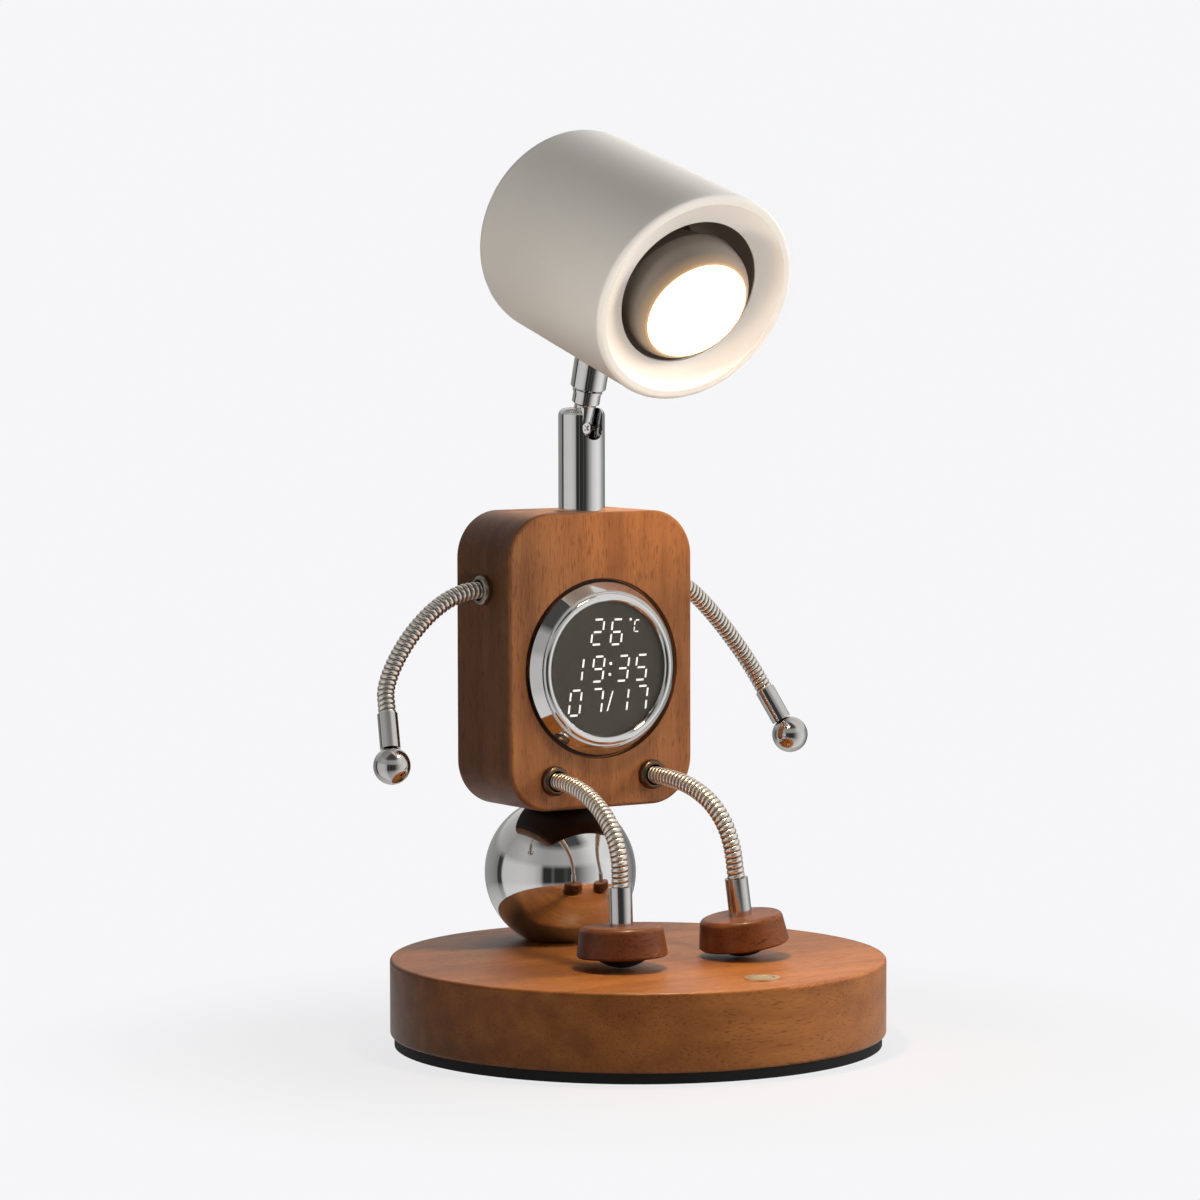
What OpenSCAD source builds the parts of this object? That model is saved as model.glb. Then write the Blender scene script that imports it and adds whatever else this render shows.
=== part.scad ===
// Clock table lamp in the form of a small seated figure.
// The front looks along -Y, +Z is up, and the origin is under the middle of the base.
// Left and right are as seen from the front.

/* [Base] */
// Diameter of the wooden base disc
base_d = 190; // [180:1:210]
// Thickness of the wooden base disc
base_t = 29.5; // [27:0.5:40]
// Rounding of the disc's upper edge
base_top_round = 1.2; // [0.4:0.1:3]
// Rounding of the disc's lower edge
base_low_round = 1.5; // [0.4:0.1:3]
// Thickness of the black pad under the disc
pad_t = 4; // [2:0.5:6]
// Distance from the disc's edge to the pad's edge
pad_inset = 1.6; // [1:0.1:6]
// Thickness of the steel ballast plate
plate_t = 5; // [3:0.5:7]
// Wood left outside the ballast plate
plate_wall = 5.5; // [4:0.5:8]
// Width of the wooden ledge that the plate is screwed to
ledge_w = 5; // [4:0.5:6]
// Height of the hollow above the plate
hollow_h = 10; // [9:0.5:12]
// Diameter of the cord bushing's bore
cord_bore_d = 5.5; // [4:0.1:6]
// Height of the cord bushing's axis above the plate
cord_rise = 5; // [4.8:0.1:6]
// Length of the control board
board_l = 58; // [40:1:70]
// Width of the control board
board_w = 34; // [26:1:44]

/* [Push switch] */
// Sideways place of the switch
switch_x = 5; // [-8:0.5:8]
// Distance of the switch from the base's front edge
switch_in = 19.5; // [19:0.5:29]
// Diameter of the switch's flange
switch_flange_d = 13.3; // [12.5:0.1:14]
// Thickness of the switch's flange
switch_flange_t = 0.8; // [0.5:0.1:1.5]
// Outer diameter of the switch's barrel
switch_barrel_d = 11.4; // [11:0.1:11.8]
// Diameter of the push button
switch_button_d = 9; // [8:0.1:9.6]
// Height of the push button
switch_button_h = 3; // [2:0.1:4]
// Travel of the push button
switch_travel = 1; // [0.5:0.1:1.5]

/* [Body] */
// Width of the wooden body
body_w = 84; // [79:1:96]
// Depth of the wooden body from front to back
body_depth = 39.2; // [37:0.2:44]
// Height of the wooden body
body_h = 114.5; // [109:0.5:125]
// Corner radius of the wooden body seen from the front
body_corner = 18; // [12:0.5:20]
// Rounding of the body's front and back edges
body_edge = 1.6; // [0.8:0.1:3]
// Distance of the body's middle behind the base's middle
body_back = 44.4; // [40:0.1:46]
// Diameter of the polished ball under the body
ball_d = 59.4; // [55:0.2:62]
// Distance of the ball's axis behind the body's middle
ball_back = 10.6; // [7:0.1:10.8]
// Height cut off the ball's underside where it stands
ball_low_cut = 3; // [1.5:0.1:4]
// Height cut off the ball's top where the body sits
ball_top_cut = 1.8; // [0.8:0.1:2.4]

/* [Clock] */
// Height of the clock's middle above the body's underside
clock_rise = 54.1; // [51:0.1:56]
// Diameter of the recess round the clock
recess_d = 69.9; // [68:0.1:72]
// Depth of that recess
recess_depth = 3; // [2:0.1:4]
// Diameter of the deep pocket behind the clock
pocket_d = 63; // [61:0.2:65]
// Depth of that pocket from the front face
pocket_depth = 26; // [25:0.2:28]
// Outer diameter of the clock's bezel
bezel_d = 66.8; // [66:0.1:67.5]
// Diameter of the bezel's front bead
bead_d = 59; // [57:0.1:60]
// Height of the bezel's front above the wood
bezel_h = 5.7; // [5:0.1:8]
// Visible diameter of the clock's glass
glass_d = 52; // [48:0.1:53]
// Thickness of the clock's glass
glass_t = 1.4; // [1:0.1:2]
// Depth of the glass behind the bezel's front
glass_sink = 1.6; // [1:0.1:2.2]

/* [Neck and knuckle] */
// Distance of the neck's axis in front of the body's middle
neck_fwd = 5.4; // [0:0.1:6]
// Diameter of the neck tube
neck_d = 18.1; // [17.4:0.1:20]
// Length of the neck tube above the body
neck_l = 39.8; // [36:0.2:60]
// Length of the neck tube inside the body
neck_in = 5; // [3:0.5:8]
// Rounding of the neck tube's top
neck_round = 3; // [2:0.1:3.6]
// Distance of the tilt axis below the neck tube's top
hinge_drop = 7.8; // [7:0.1:8.4]
// Width of the slot in the neck tube
slot_w = 9; // [8.6:0.1:9.6]
// Diameter of the tilt pin
pin_d = 3.2; // [2.4:0.1:3.6]
// Lean of the head at rest
head_lean = 16.7; // [5:0.1:40]
// Diameter of the post above the tilt axis
post_d = 10.8; // [10:0.1:11]
// Distance of the post's lower edge from the tilt axis
post_low = 10.5; // [10.2:0.1:11]
// Height of the post
post_h = 4.3; // [4:0.1:7]
// Thickness of the ring between post and cup
ring_t = 0.9; // [0.6:0.1:1.4]
// Diameter of the swivel stud
stud_d = 6; // [5:0.1:6.4]
// Diameter of the cup under the shade
cup_d = 14; // [12.8:0.1:15]
// Height of the cup
cup_h = 13.4; // [11:0.1:16]

/* [Shade] */
// Diameter of the shade at its front
shade_front_d = 83.6; // [82:0.2:90]
// Diameter of the shade at its back
shade_back_d = 81.4; // [79:0.2:83]
// Length of the shade
shade_l = 92; // [89:0.5:100]
// Distance of the shade's front ahead of the stud
shade_reach = 60.8; // [59.6:0.1:62]
// Wall of the shade
shade_wall = 1.2; // [0.8:0.1:1.8]
// Rounding of the shade's back edge
shade_round = 3.4; // [3:0.1:7]
// Depth of the front ring's lip
lip_h = 3; // [2.4:0.1:4]
// Slant of the shade's mouth against its axis
mouth_slant = 9.1; // [0:0.1:10]
// Diameter of the front ring's opening
mouth_d = 57.8; // [57.4:0.1:60]
// Depth of the opening behind the rim
mouth_depth = 5.4; // [5:0.1:6.4]
// Inner diameter of the dark sleeve
sleeve_d = 58; // [57.4:0.1:60]
// Length of the dark sleeve
sleeve_l = 26; // [20:0.5:28]

/* [Bulb] */
// Diameter of the bulb's lens
bulb_lens_d = 41; // [36:0.2:43]
// Largest diameter of the bulb
bulb_d = 50; // [48:0.1:50.6]
// Length of the bulb from its pins to its lens
bulb_l = 50; // [48:0.2:52]
// Droop of the bulb in its holder
bulb_droop = 17.8; // [14:0.1:18.4]
// Depth of the point of that droop behind the mouth's middle
bulb_in = 11.2; // [10:0.1:13]
// Distance of the bulb's lens ahead of that point
bulb_out = 13.8; // [12:0.1:14.4]
// Diameter of the bulb's cap
bulb_cap_d = 27; // [24:0.2:28]
// Length of the lamp holder
holder_l = 18; // [16:0.5:20]

/* [Limbs] */
// Outer diameter of the bendy stems
stem_d = 6.8; // [6:0.1:7.2]
// Depth of the grooves between the stems' ribs
stem_groove = 0.4; // [0.2:0.05:0.5]
// Bore of the stems
stem_bore = 3.8; // [3:0.1:4.2]
// Number of ribs on each stem
stem_ribs = 36; // [30:1:48]
// Diameter of the collars that hold the stems
collar_d = 11.5; // [11.2:0.1:13]
// Height of the collars above the wood
collar_h = 3.2; // [2:0.1:4]
// Diameter of the collars' sleeves in the wood
collar_sleeve_d = 9.6; // [9.4:0.1:10.4]
// Depth of the stems' seats below the wood's surface
stem_seat = 3; // [2:0.1:4]
// Height of the arms above the body's underside
arm_rise = 85; // [78:0.5:92]
// Distance of the arms in front of the body's middle
arm_fwd = 1.8; // [0:0.1:4]
// Diameter of the arms' ferrules
arm_ferrule_d = 7.8; // [7.4:0.1:9]
// Length of the arms' ferrules
arm_ferrule_l = 13.8; // [10:0.1:18]
// Diameter of the hand balls
hand_d = 14.2; // [12:0.1:16]
// Height of the legs above the body's underside
leg_rise = 11.8; // [9:0.1:14]
// Distance of each leg from the middle
leg_x = 22.4; // [19:0.1:24]
// Diameter of the legs' ferrules
leg_ferrule_d = 8.8; // [8:0.1:10]
// Length of the legs' ferrules
leg_ferrule_l = 14.5; // [11:0.1:18]
// Diameter of the wooden feet at the bottom
foot_d = 34.6; // [30:0.2:36]
// Diameter of the wooden feet at the top
foot_top_d = 32; // [28:0.2:34]
// Height of the wooden feet
foot_h = 11.6; // [9:0.1:14]
// Rounding of the feet's upper edge
foot_round = 2.2; // [1:0.1:3]
// Diameter of the rubber pads under the feet
foot_pad_d = 21; // [16:0.2:24]
// Height of the rubber pads under the feet
foot_pad_h = 4.2; // [3:0.1:5]

/* [Fits] */
// Gap round a piece that sits still in its seat
seat_gap = 0.1; // [0.05:0.05:0.2]
// Gap round a pin or stud that turns
run_gap = 0.05; // [0.02:0.01:0.1]
// Gap between other pieces that move past each other
move_gap = 0.3; // [0.25:0.05:0.5]

/* [Hidden] */
$fn = 96;

// Colours of the finishes
wood_c = "#a5693f";
dark_wood_c = "#7a4630";
chrome_c = "#d5d6d8";
steel_c = "#b4b4b2";
white_c = "#ece9e4";
dark_c = "#4b423c";
black_c = "#1d1c1b";
brass_c = "#b5975a";
board_c = "#2f5b3c";
glass_c = "#3b3836";
glow_c = "#fff3d8";

// Heights and places in the base
base_r = base_d / 2;
base_top = pad_t + base_t;
plate_top = pad_t + plate_t;
plate_r = base_r - plate_wall;
hollow_r = plate_r - ledge_w;
hollow_top = plate_top + hollow_h;
screw_r = 1.25;
screw_head_r = 2.4;
screw_head_h = 1.5;
screw_l = 13;
plate_screw_n = 4;
bushing_z = plate_top + cord_rise;
bushing_wall = 1.4;
bushing_r = cord_bore_d / 2 + bushing_wall;
bushing_flange_r = bushing_r + 1.2;
bushing_flange_t = 1.5;
bushing_sink = 0.6;
bushing_face = base_r - bushing_sink;
board_t = 1.6;
board_peg_h = 2.4;
board_peg_r = 2;
board_peg_in = 4;
board_place = [-34, -12];
choke_size = [12, 10, 3];
capacitor_r = 4;
capacitor_h = 4;

// Push switch
switch_place = [switch_x, switch_in - base_r];
switch_bore_r = switch_button_d / 2 + move_gap;
switch_nut_h = 2.4;
switch_nut_r = 7;
switch_top = base_top + switch_flange_t;
switch_inset = 0.2;
switch_barrel_low = hollow_top - switch_nut_h - 1;
contact_top = switch_top - switch_inset - switch_button_h - switch_travel - move_gap;
contact_low = plate_top + 3;

// Ball, rod and body
ball_y = body_back + ball_back;
ball_r = ball_d / 2;
ball_z = base_top + ball_r - ball_low_cut;
body_low = ball_z + ball_r - ball_top_cut;
body_top = body_low + body_h;
body_front = body_back - body_depth / 2;
rod_r = 5;
rod_bore_r = 3.2;
rod_washer_t = 1.5;
rod_washer_r = 9;
rod_nut_h = 5;
rod_nut_r = 8.6;
rod_low = plate_top + 1.5;
insert_r = 6.6;
insert_l = 14;
rod_top = body_low + insert_l + 2;
clock_z = body_low + clock_rise;
recess_r = recess_d / 2;
pocket_r = pocket_d / 2;

// Clock, measured outwards from the body's front face
glass_lip = 0.6;
glass_seat_r = glass_d / 2 + glass_lip;
glass_low = bezel_h - glass_sink - glass_t;
display_t = 1.8;
display_low = glass_low - seat_gap - display_t;
case_wall = 1.6;
case_clear = 1;
case_low = -pocket_depth + 7;
clock_post_r = 12;
clock_post_h = 4;

// Neck and knuckle
neck_y = body_back - neck_fwd;
neck_r = neck_d / 2;
neck_top = body_top + neck_l;
hinge_z = neck_top - hinge_drop;
nipple_r = 5;
nipple_bore_r = 3.2;
nipple_up = 16;
neck_solid = 9;
neck_nut_h = 4.5;
neck_nut_r = 8;
nut_room = 18;
nut_room_top = clock_z + pocket_r + neck_nut_h + 3.5;
slot_r = slot_w / 2;
tongue_r = slot_r - move_gap;
pin_l = slot_w + 6;
stud_r = stud_d / 2;
post_top = post_low + post_h;
ring_top = post_top + ring_t;
cup_low = ring_top + move_gap;
cup_top = cup_low + cup_h;
cup_lip_t = 0.8;
cup_lip_out = 0.5;
knuckle_screw_r = 2.2;
knuckle_screw_in = pin_d / 2 + run_gap + move_gap;
knuckle_screw_out = sqrt(tongue_r * tongue_r - knuckle_screw_r * knuckle_screw_r);

// Shade, measured from where the stud's axis crosses the shade's axis
shade_slope = (shade_front_d - shade_back_d) / 2 / shade_l;
shade_back_z = shade_reach - shade_l;
axis_h = cup_top + seat_gap + shade_r(0);
ring_seat = shade_reach - lip_h;
lip_round = 1.8;
spigot_t = 1.6;
spigot_l = 6;
cone_t = 1.4;
mouth_over = shade_r(shade_reach) * tan(mouth_slant) + 1;
sleeve_t = 1.6;
sleeve_back = -mouth_depth - cone_t - seat_gap - sleeve_l;
sleeve_hole_r = bulb_cap_d / 2 + 5.5;
wall_in_h = axis_h - shade_r(0) + shade_wall;
head_washer_r = 6;
head_washer_t = 1;
head_washer_z = wall_in_h + sagitta(head_washer_r, shade_r(0) - shade_wall) + seat_gap;
bracket_t = 1.5;
bracket_w = 9;
bracket_z = head_washer_z + head_washer_t;
head_nut_h = 5;
head_nut_r = 5.6;
stud_top = bracket_z + bracket_t + head_nut_h + 2;

// Bulb, and the bracket's leg, which stands square to the bulb behind its holder
holder_r = bulb_cap_d / 2 + 1;
leg_behind = bulb_l - bulb_out + holder_l + seat_gap + bracket_t;
leg_drop = (leg_behind * sin(bulb_droop) + axis_h - bracket_z) / cos(bulb_droop);
leg_up = 6;
bracket_front = 6;
bracket_back = leg_behind * cos(bulb_droop) + bulb_in - shade_reach
  + leg_drop * sin(bulb_droop) - bracket_t * tan(bulb_droop);
bulb_lens_t = 1.6;
bulb_lens_rim = 0.6;
bulb_shoulder_h = 9;
bulb_neck_l = 13;
bulb_rim_l = 14;
pin_gap = 10;
bulb_pin_r = 1.3;
bulb_pin_l = 7;

// Limbs
stem_r = stem_d / 2;
stem_run = stem_d;
stem_sides = 8;
collar_deep = stem_seat + 4;
collar_bore_r = stem_r + 0.7;
collar_round = 1.5;
collar_low_round = 0.2;
body_half = body_w / 2;
hand_r = hand_d / 2;
hand_flat = hand_r - 0.3;
ferrule_stud_r = 1.5;
ferrule_stud_l = 4;
pad_ball_r = (pow(foot_pad_d / 2, 2) + pow(foot_pad_h, 2)) / (2 * foot_pad_h);
// Middle of each hand ball, and how far the ferrule above it leans out and forward
hand_rise_left = 20.5;
hand_rise_right = 22.7;
hand_left = [-88, 35.5, body_low + hand_rise_left];
hand_right = [94.5, 32.5, body_low + hand_rise_right];
hand_lean_left = [-8, 22];
hand_lean_right = [22, 21];
// Standing place of each foot, and how far the ferrule above it leans out and forward
foot_place_left = [-23.2, -23.6];
foot_place_right = [31, -24.3];
foot_lean_left = [0, 2.5];
foot_lean_right = [7.2, 1.5];
// Reach of each stem's curve at its collar and at its ferrule
arm_curve_left = [21.5, 11];
arm_curve_right = [8, 15];
leg_curve_left = [19.2, 19];
leg_curve_right = [28.2, 21];
inner_step = 4;
curve_steps = 48;
arc_steps = 12;

// Radius of the shade's outside at a distance ahead of the stud
function shade_r(z) = shade_back_d / 2 + shade_slope * (z - shade_back_z);

// Height of a round wall's hollow across a chord of half width w
function sagitta(w, r) = r - sqrt(r * r - w * w);

// Direction that points down and leans out by lean[0] and forward by lean[1] degrees
function lean_dir(lean) = [
  sin(lean[0]) * cos(lean[1]),
  -sin(lean[1]),
  -cos(lean[0]) * cos(lean[1])
];

function unit(v) = v / norm(v);

// Points of an arc round a middle, between two angles
function arc_points(mid, r, from, to) = [
  for (i = [0:arc_steps])
    let (a = from + (to - from) * i / arc_steps)
    mid + r * [cos(a), sin(a)]
];

// Turns what points along +Z to lie against the leaning direction
module against(lean) { rotate([-lean[1], -lean[0], 0]) children(); }

// Cubic curve through its four control points, and its slope
function curve(p, t) = pow(1 - t, 3) * p[0] + 3 * t * pow(1 - t, 2) * p[1]
  + 3 * t * t * (1 - t) * p[2] + pow(t, 3) * p[3];
function curve_slope(p, t) = pow(1 - t, 2) * (p[1] - p[0])
  + 2 * t * (1 - t) * (p[2] - p[1]) + t * t * (p[3] - p[2]);

// Control points of a stem: straight out of its seat, and straight into its ferrule
function stem_curve(from, out, to, into, reach) = [
  from + out * stem_run,
  from + out * (stem_run + reach[0]),
  to - into * (stem_run + reach[1]),
  to - into * stem_run
];

// Running length of the curve at each step, paired with the step's own value
function curve_table(p) = [
  for (i = 0, s = 0; i <= curve_steps;
       s = s + norm(curve(p, (i + 1) / curve_steps) - curve(p, i / curve_steps)), i = i + 1)
    [s, i / curve_steps]
];

// Point and direction at a length s along a stem
function stem_at(p, table, s) =
  let (bend = table[curve_steps][0], t = lookup(s - stem_run, table))
  s <= stem_run ? [p[0] + unit(p[1] - p[0]) * (s - stem_run), unit(p[1] - p[0])]
  : s >= stem_run + bend ? [p[3] + unit(p[3] - p[2]) * (s - stem_run - bend), unit(p[3] - p[2])]
  : [curve(p, t), unit(curve_slope(p, t))];

// One ring of points round a place on the stem
function ring_points(place, side, r) =
  let (u = unit(cross(place[1], side)), v = cross(place[1], u))
  [for (k = [0:stem_sides - 1])
    place[0] + r * (cos(360 * k / stem_sides) * u + sin(360 * k / stem_sides) * v)];

// Triangles between ring a and ring b, seen from the outside
function band(a, b) = [
  for (k = [0:stem_sides - 1])
    let (n = (k + 1) % stem_sides)
    each [[a + k, b + n, a + n], [a + k, b + k, b + n]]
];

// Ribbed stem with a bore, along its curve
module ribbed_stem(p, side) {
  table = curve_table(p);
  total = table[curve_steps][0] + 2 * stem_run;
  rings = 2 * stem_ribs;
  cores = floor(rings / inner_step);
  outer = [
    for (i = [0:rings])
      each ring_points(stem_at(p, table, total * i / rings), side,
                       stem_r - (i % 2 == 0 ? stem_groove : 0))
  ];
  inner = [
    for (i = [0:cores])
      each ring_points(stem_at(p, table, total * i / cores), side, stem_bore / 2)
  ];
  core0 = len(outer);
  faces = [
    for (i = [0:rings - 1]) each band(i * stem_sides, (i + 1) * stem_sides),
    for (i = [0:cores - 1]) each band(core0 + (i + 1) * stem_sides, core0 + i * stem_sides),
    each band(core0, 0),
    each band(rings * stem_sides, core0 + cores * stem_sides)
  ];
  polyhedron(points = concat(outer, inner), faces = faces);
}

// Half outline of a disc of radius r and height h with rounded edges
module round_edge_half(r, h, top, low) {
  translate([0, low]) square([r, h - low - top]);
  square([r - low, h / 2]);
  translate([0, h / 2]) square([r - top, h / 2]);
  translate([r - low, low]) circle(low);
  translate([r - top, h - top]) circle(top);
}

// Rectangle with rounded corners, from its lower left corner
module round_rect(w, h, r) {
  translate([0, r]) square([w, h - 2 * r]);
  translate([r, 0]) square([w - 2 * r, h]);
  for (x = [r, w - r], y = [r, h - r]) translate([x, y]) circle(r);
}

module tube(r, bore, h) {
  difference() {
    cylinder(r = r, h = h);
    translate([0, 0, -1]) cylinder(r = bore, h = h + 2);
  }
}

module hex_nut(r, bore, h) {
  difference() {
    cylinder(r = r, h = h, $fn = 6);
    translate([0, 0, -1]) cylinder(r = bore, h = h + 2);
  }
}

// Frames of the sub-assemblies
module at_ball() { translate([0, ball_y, 0]) children(); }
module at_neck() { translate([0, neck_y, 0]) children(); }
module at_switch() { translate(switch_place) children(); }
module at_clock() { translate([0, body_front, clock_z]) rotate([90, 0, 0]) children(); }
module at_hinge() { translate([0, neck_y, hinge_z]) rotate([head_lean, 0, 0]) children(); }
module at_shade() { at_hinge() translate([0, 0, axis_h]) rotate([90, 0, 0]) children(); }
module at_mouth() { at_shade() translate([0, 0, shade_reach]) rotate([mouth_slant, 0, 0]) children(); }
module at_bulb() {
  at_shade() translate([0, 0, shade_reach - bulb_in]) rotate([bulb_droop, 0, 0])
    translate([0, 0, bulb_out - bulb_l]) children();
}
module at_arm(sx) {
  translate([sx * body_half, body_back - arm_fwd, body_low + arm_rise]) rotate([0, sx * 90, 0]) children();
}
module at_leg(sx) {
  translate([sx * leg_x, body_front, body_low + leg_rise]) rotate([90, 0, 0]) children();
}
module at_plate_screws() {
  for (i = [0:plate_screw_n - 1])
    rotate(45 + 360 * i / plate_screw_n) translate([hollow_r + ledge_w / 2, 0, 0]) children();
}

// Base

module base_disc() {
  color(wood_c)
  difference() {
    translate([0, 0, pad_t])
      rotate_extrude() round_edge_half(base_r, base_t, base_top_round, base_low_round);
    translate([0, 0, pad_t - 1]) cylinder(r = plate_r, h = plate_t + 1);
    cylinder(r = hollow_r, h = hollow_top);
    at_ball() cylinder(r = rod_r + seat_gap, h = base_top + 1);
    at_switch() cylinder(r = switch_barrel_d / 2 + seat_gap, h = base_top + 1);
    translate([0, hollow_r - 2, bushing_z]) rotate([-90, 0, 0])
      cylinder(r = bushing_r + seat_gap, h = base_r);
    translate([0, bushing_face - bushing_flange_t, bushing_z]) rotate([-90, 0, 0])
      cylinder(r = bushing_flange_r + seat_gap, h = base_r);
    at_plate_screws() cylinder(r = screw_r + seat_gap, h = pad_t + screw_l + 1);
  }
}

module base_pad() {
  color(black_c) cylinder(r = base_r - pad_inset, h = pad_t);
}

module base_plate() {
  color(steel_c)
  difference() {
    translate([0, 0, pad_t]) cylinder(r = plate_r - seat_gap, h = plate_t);
    at_plate_screws() {
      cylinder(r = screw_r + seat_gap, h = plate_top + 1);
      translate([0, 0, pad_t - seat_gap])
        cylinder(r1 = screw_head_r + seat_gap, r2 = screw_r + seat_gap, h = screw_head_h + seat_gap);
    }
  }
}

module plate_screws() {
  color(steel_c) at_plate_screws() translate([0, 0, pad_t]) {
    cylinder(r1 = screw_head_r, r2 = screw_r, h = screw_head_h);
    cylinder(r = screw_r, h = screw_l);
  }
}

module cord_bushing() {
  color(black_c) translate([0, bushing_face, bushing_z]) rotate([90, 0, 0])
  difference() {
    union() {
      cylinder(r = bushing_flange_r, h = bushing_flange_t);
      cylinder(r = bushing_r, h = bushing_face - hollow_r + 1);
    }
    translate([0, 0, -1]) cylinder(d = cord_bore_d, h = base_r);
  }
}

module control_board() {
  low = hollow_top - board_peg_h - board_t;
  peg_x = board_l / 2 - board_peg_in;
  peg_y = board_w / 2 - board_peg_in;
  color(board_c) translate(board_place) translate([0, 0, low]) {
    translate([-board_l / 2, -board_w / 2, 0]) cube([board_l, board_w, board_t]);
    for (x = [-peg_x, peg_x], y = [-peg_y, peg_y])
      translate([x, y, board_t]) cylinder(r = board_peg_r, h = board_peg_h);
    translate([-board_l / 4, 0, -choke_size[2]]) cube(choke_size);
    translate([board_l / 4, 0, -capacitor_h]) cylinder(r = capacitor_r, h = capacitor_h);
  }
}

// Push switch

module switch_bezel() {
  color(chrome_c) at_switch()
  difference() {
    union() {
      translate([0, 0, base_top]) cylinder(d = switch_flange_d, h = switch_flange_t);
      translate([0, 0, switch_barrel_low])
        cylinder(d = switch_barrel_d, h = switch_top - switch_barrel_low);
    }
    cylinder(r = switch_bore_r, h = switch_top + 1);
  }
}

module switch_nut() {
  color(steel_c) at_switch() translate([0, 0, hollow_top - switch_nut_h])
    hex_nut(switch_nut_r, switch_barrel_d / 2 + seat_gap, switch_nut_h);
}

module switch_button() {
  color(chrome_c) at_switch() translate([0, 0, switch_top - switch_inset - switch_button_h])
    rotate_extrude() round_edge_half(switch_button_d / 2, switch_button_h, 0.4, 0.2);
}

module switch_contact() {
  color(black_c) at_switch() translate([0, 0, contact_low]) {
    cylinder(r = switch_bore_r - seat_gap, h = contact_top - contact_low);
    for (x = [-1, 1]) translate([x * 2 - 0.4, -1, -2]) cube([0.8, 2, 2.5]);
  }
}

// Ball, rod and body

module spine_rod() {
  color(steel_c) at_ball() translate([0, 0, rod_low]) tube(rod_r, rod_bore_r, rod_top - rod_low);
}

module rod_washer() {
  color(steel_c) at_ball() translate([0, 0, hollow_top - rod_washer_t])
    tube(rod_washer_r, rod_r + seat_gap, rod_washer_t);
}

module rod_nut() {
  color(steel_c) at_ball() translate([0, 0, hollow_top - rod_washer_t - rod_nut_h])
    hex_nut(rod_nut_r, rod_r + seat_gap, rod_nut_h);
}

module ball() {
  color(chrome_c) at_ball()
  difference() {
    translate([0, 0, ball_z]) sphere(r = ball_r);
    translate([-ball_d, -ball_d, base_top - ball_d]) cube([2 * ball_d, 2 * ball_d, ball_d]);
    translate([-ball_d, -ball_d, body_low]) cube([2 * ball_d, 2 * ball_d, ball_d]);
    cylinder(r = rod_r + seat_gap, h = body_top);
  }
}

module body_insert() {
  color(brass_c) at_ball() translate([0, 0, body_low]) tube(insert_r, rod_r + seat_gap, insert_l);
}

// Rounded block of the body: round corners from the front, rounded front and back edges
module body_block() {
  mid_w = body_w - 2 * body_corner;
  mid_h = body_h - 2 * body_corner;
  translate([-mid_w / 2, body_front, body_low]) rotate([90, 0, 90])
    linear_extrude(mid_w) round_rect(body_depth, body_h, body_edge);
  translate([-body_half, body_front, body_low + body_corner])
    linear_extrude(mid_h) round_rect(body_w, body_depth, body_edge);
  for (x = [-1, 1], z = [body_low + body_corner, body_top - body_corner])
    translate([x * mid_w / 2, body_front + body_depth, z]) rotate([90, 0, 0])
      rotate_extrude() round_edge_half(body_corner, body_depth, body_edge, body_edge);
}

module body() {
  color(wood_c)
  difference() {
    body_block();
    at_clock() translate([0, 0, -recess_depth]) cylinder(r = recess_r, h = recess_depth + 1);
    at_clock() translate([0, 0, -pocket_depth]) cylinder(r = pocket_r, h = pocket_depth);
    at_ball() translate([0, 0, body_low - 1]) cylinder(r = insert_r + seat_gap, h = insert_l + 1 + seat_gap);
    at_ball() translate([0, 0, body_low]) cylinder(r = rod_r + seat_gap, h = clock_rise);
    at_neck() translate([0, 0, body_top - neck_in]) cylinder(r = neck_r + seat_gap, h = neck_in + 1);
    at_neck() translate([0, 0, clock_z]) cylinder(r = nipple_r + seat_gap, h = body_h);
    translate([-nut_room / 2, neck_y - nut_room / 2, clock_z])
      cube([nut_room, nut_room, nut_room_top - clock_z]);
    for (sx = [-1, 1]) {
      at_arm(sx) collar_hole();
      at_leg(sx) collar_hole();
    }
  }
}

// Hole in the wood for a collar's sleeve
module collar_hole() {
  translate([0, 0, -collar_deep - seat_gap])
    cylinder(d = collar_sleeve_d + 2 * seat_gap, h = collar_deep + 1);
}

// Clock

module clock_bezel() {
  bead_r = bead_d / 2;
  bead_w = bead_r - glass_d / 2;
  bead_round = bead_w / 2;
  groove_w = 0.8;
  groove_foot = 0.2;
  flank_z = bezel_h - 1.1;
  groove_z = flank_z - 0.6;
  edge_z = 0.6;
  color(chrome_c) at_clock()
  rotate_extrude()
  difference() {
    union() {
      polygon([
        [glass_seat_r, -recess_depth], [bezel_d / 2, -recess_depth], [bezel_d / 2, edge_z],
        [bead_r + groove_w, flank_z], [bead_r + groove_foot, groove_z], [bead_r, groove_z],
        [bead_r, bezel_h - bead_round], [glass_seat_r, bezel_h - bead_round]
      ]);
      translate([bead_r - bead_round, bezel_h - bead_round]) circle(bead_round);
    }
    translate([0, -recess_depth]) square([glass_seat_r, recess_depth + bezel_h - glass_sink]);
  }
}

module clock_glass() {
  color(glass_c) at_clock() translate([0, 0, glass_low])
    cylinder(r = glass_seat_r - seat_gap, h = glass_t);
}

module clock_display() {
  color(black_c) at_clock() translate([0, 0, display_low])
    cylinder(r = glass_seat_r - seat_gap, h = display_t);
}

module clock_case() {
  rim_r = glass_seat_r - seat_gap;
  color(black_c) at_clock()
  rotate_extrude()
    polygon([
      [0, case_low], [pocket_r - case_clear, case_low], [pocket_r - case_clear, -recess_depth],
      [rim_r, -recess_depth], [rim_r, display_low], [rim_r - case_wall, display_low],
      [rim_r - case_wall, case_low + case_wall], [0, case_low + case_wall]
    ]);
}

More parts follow.
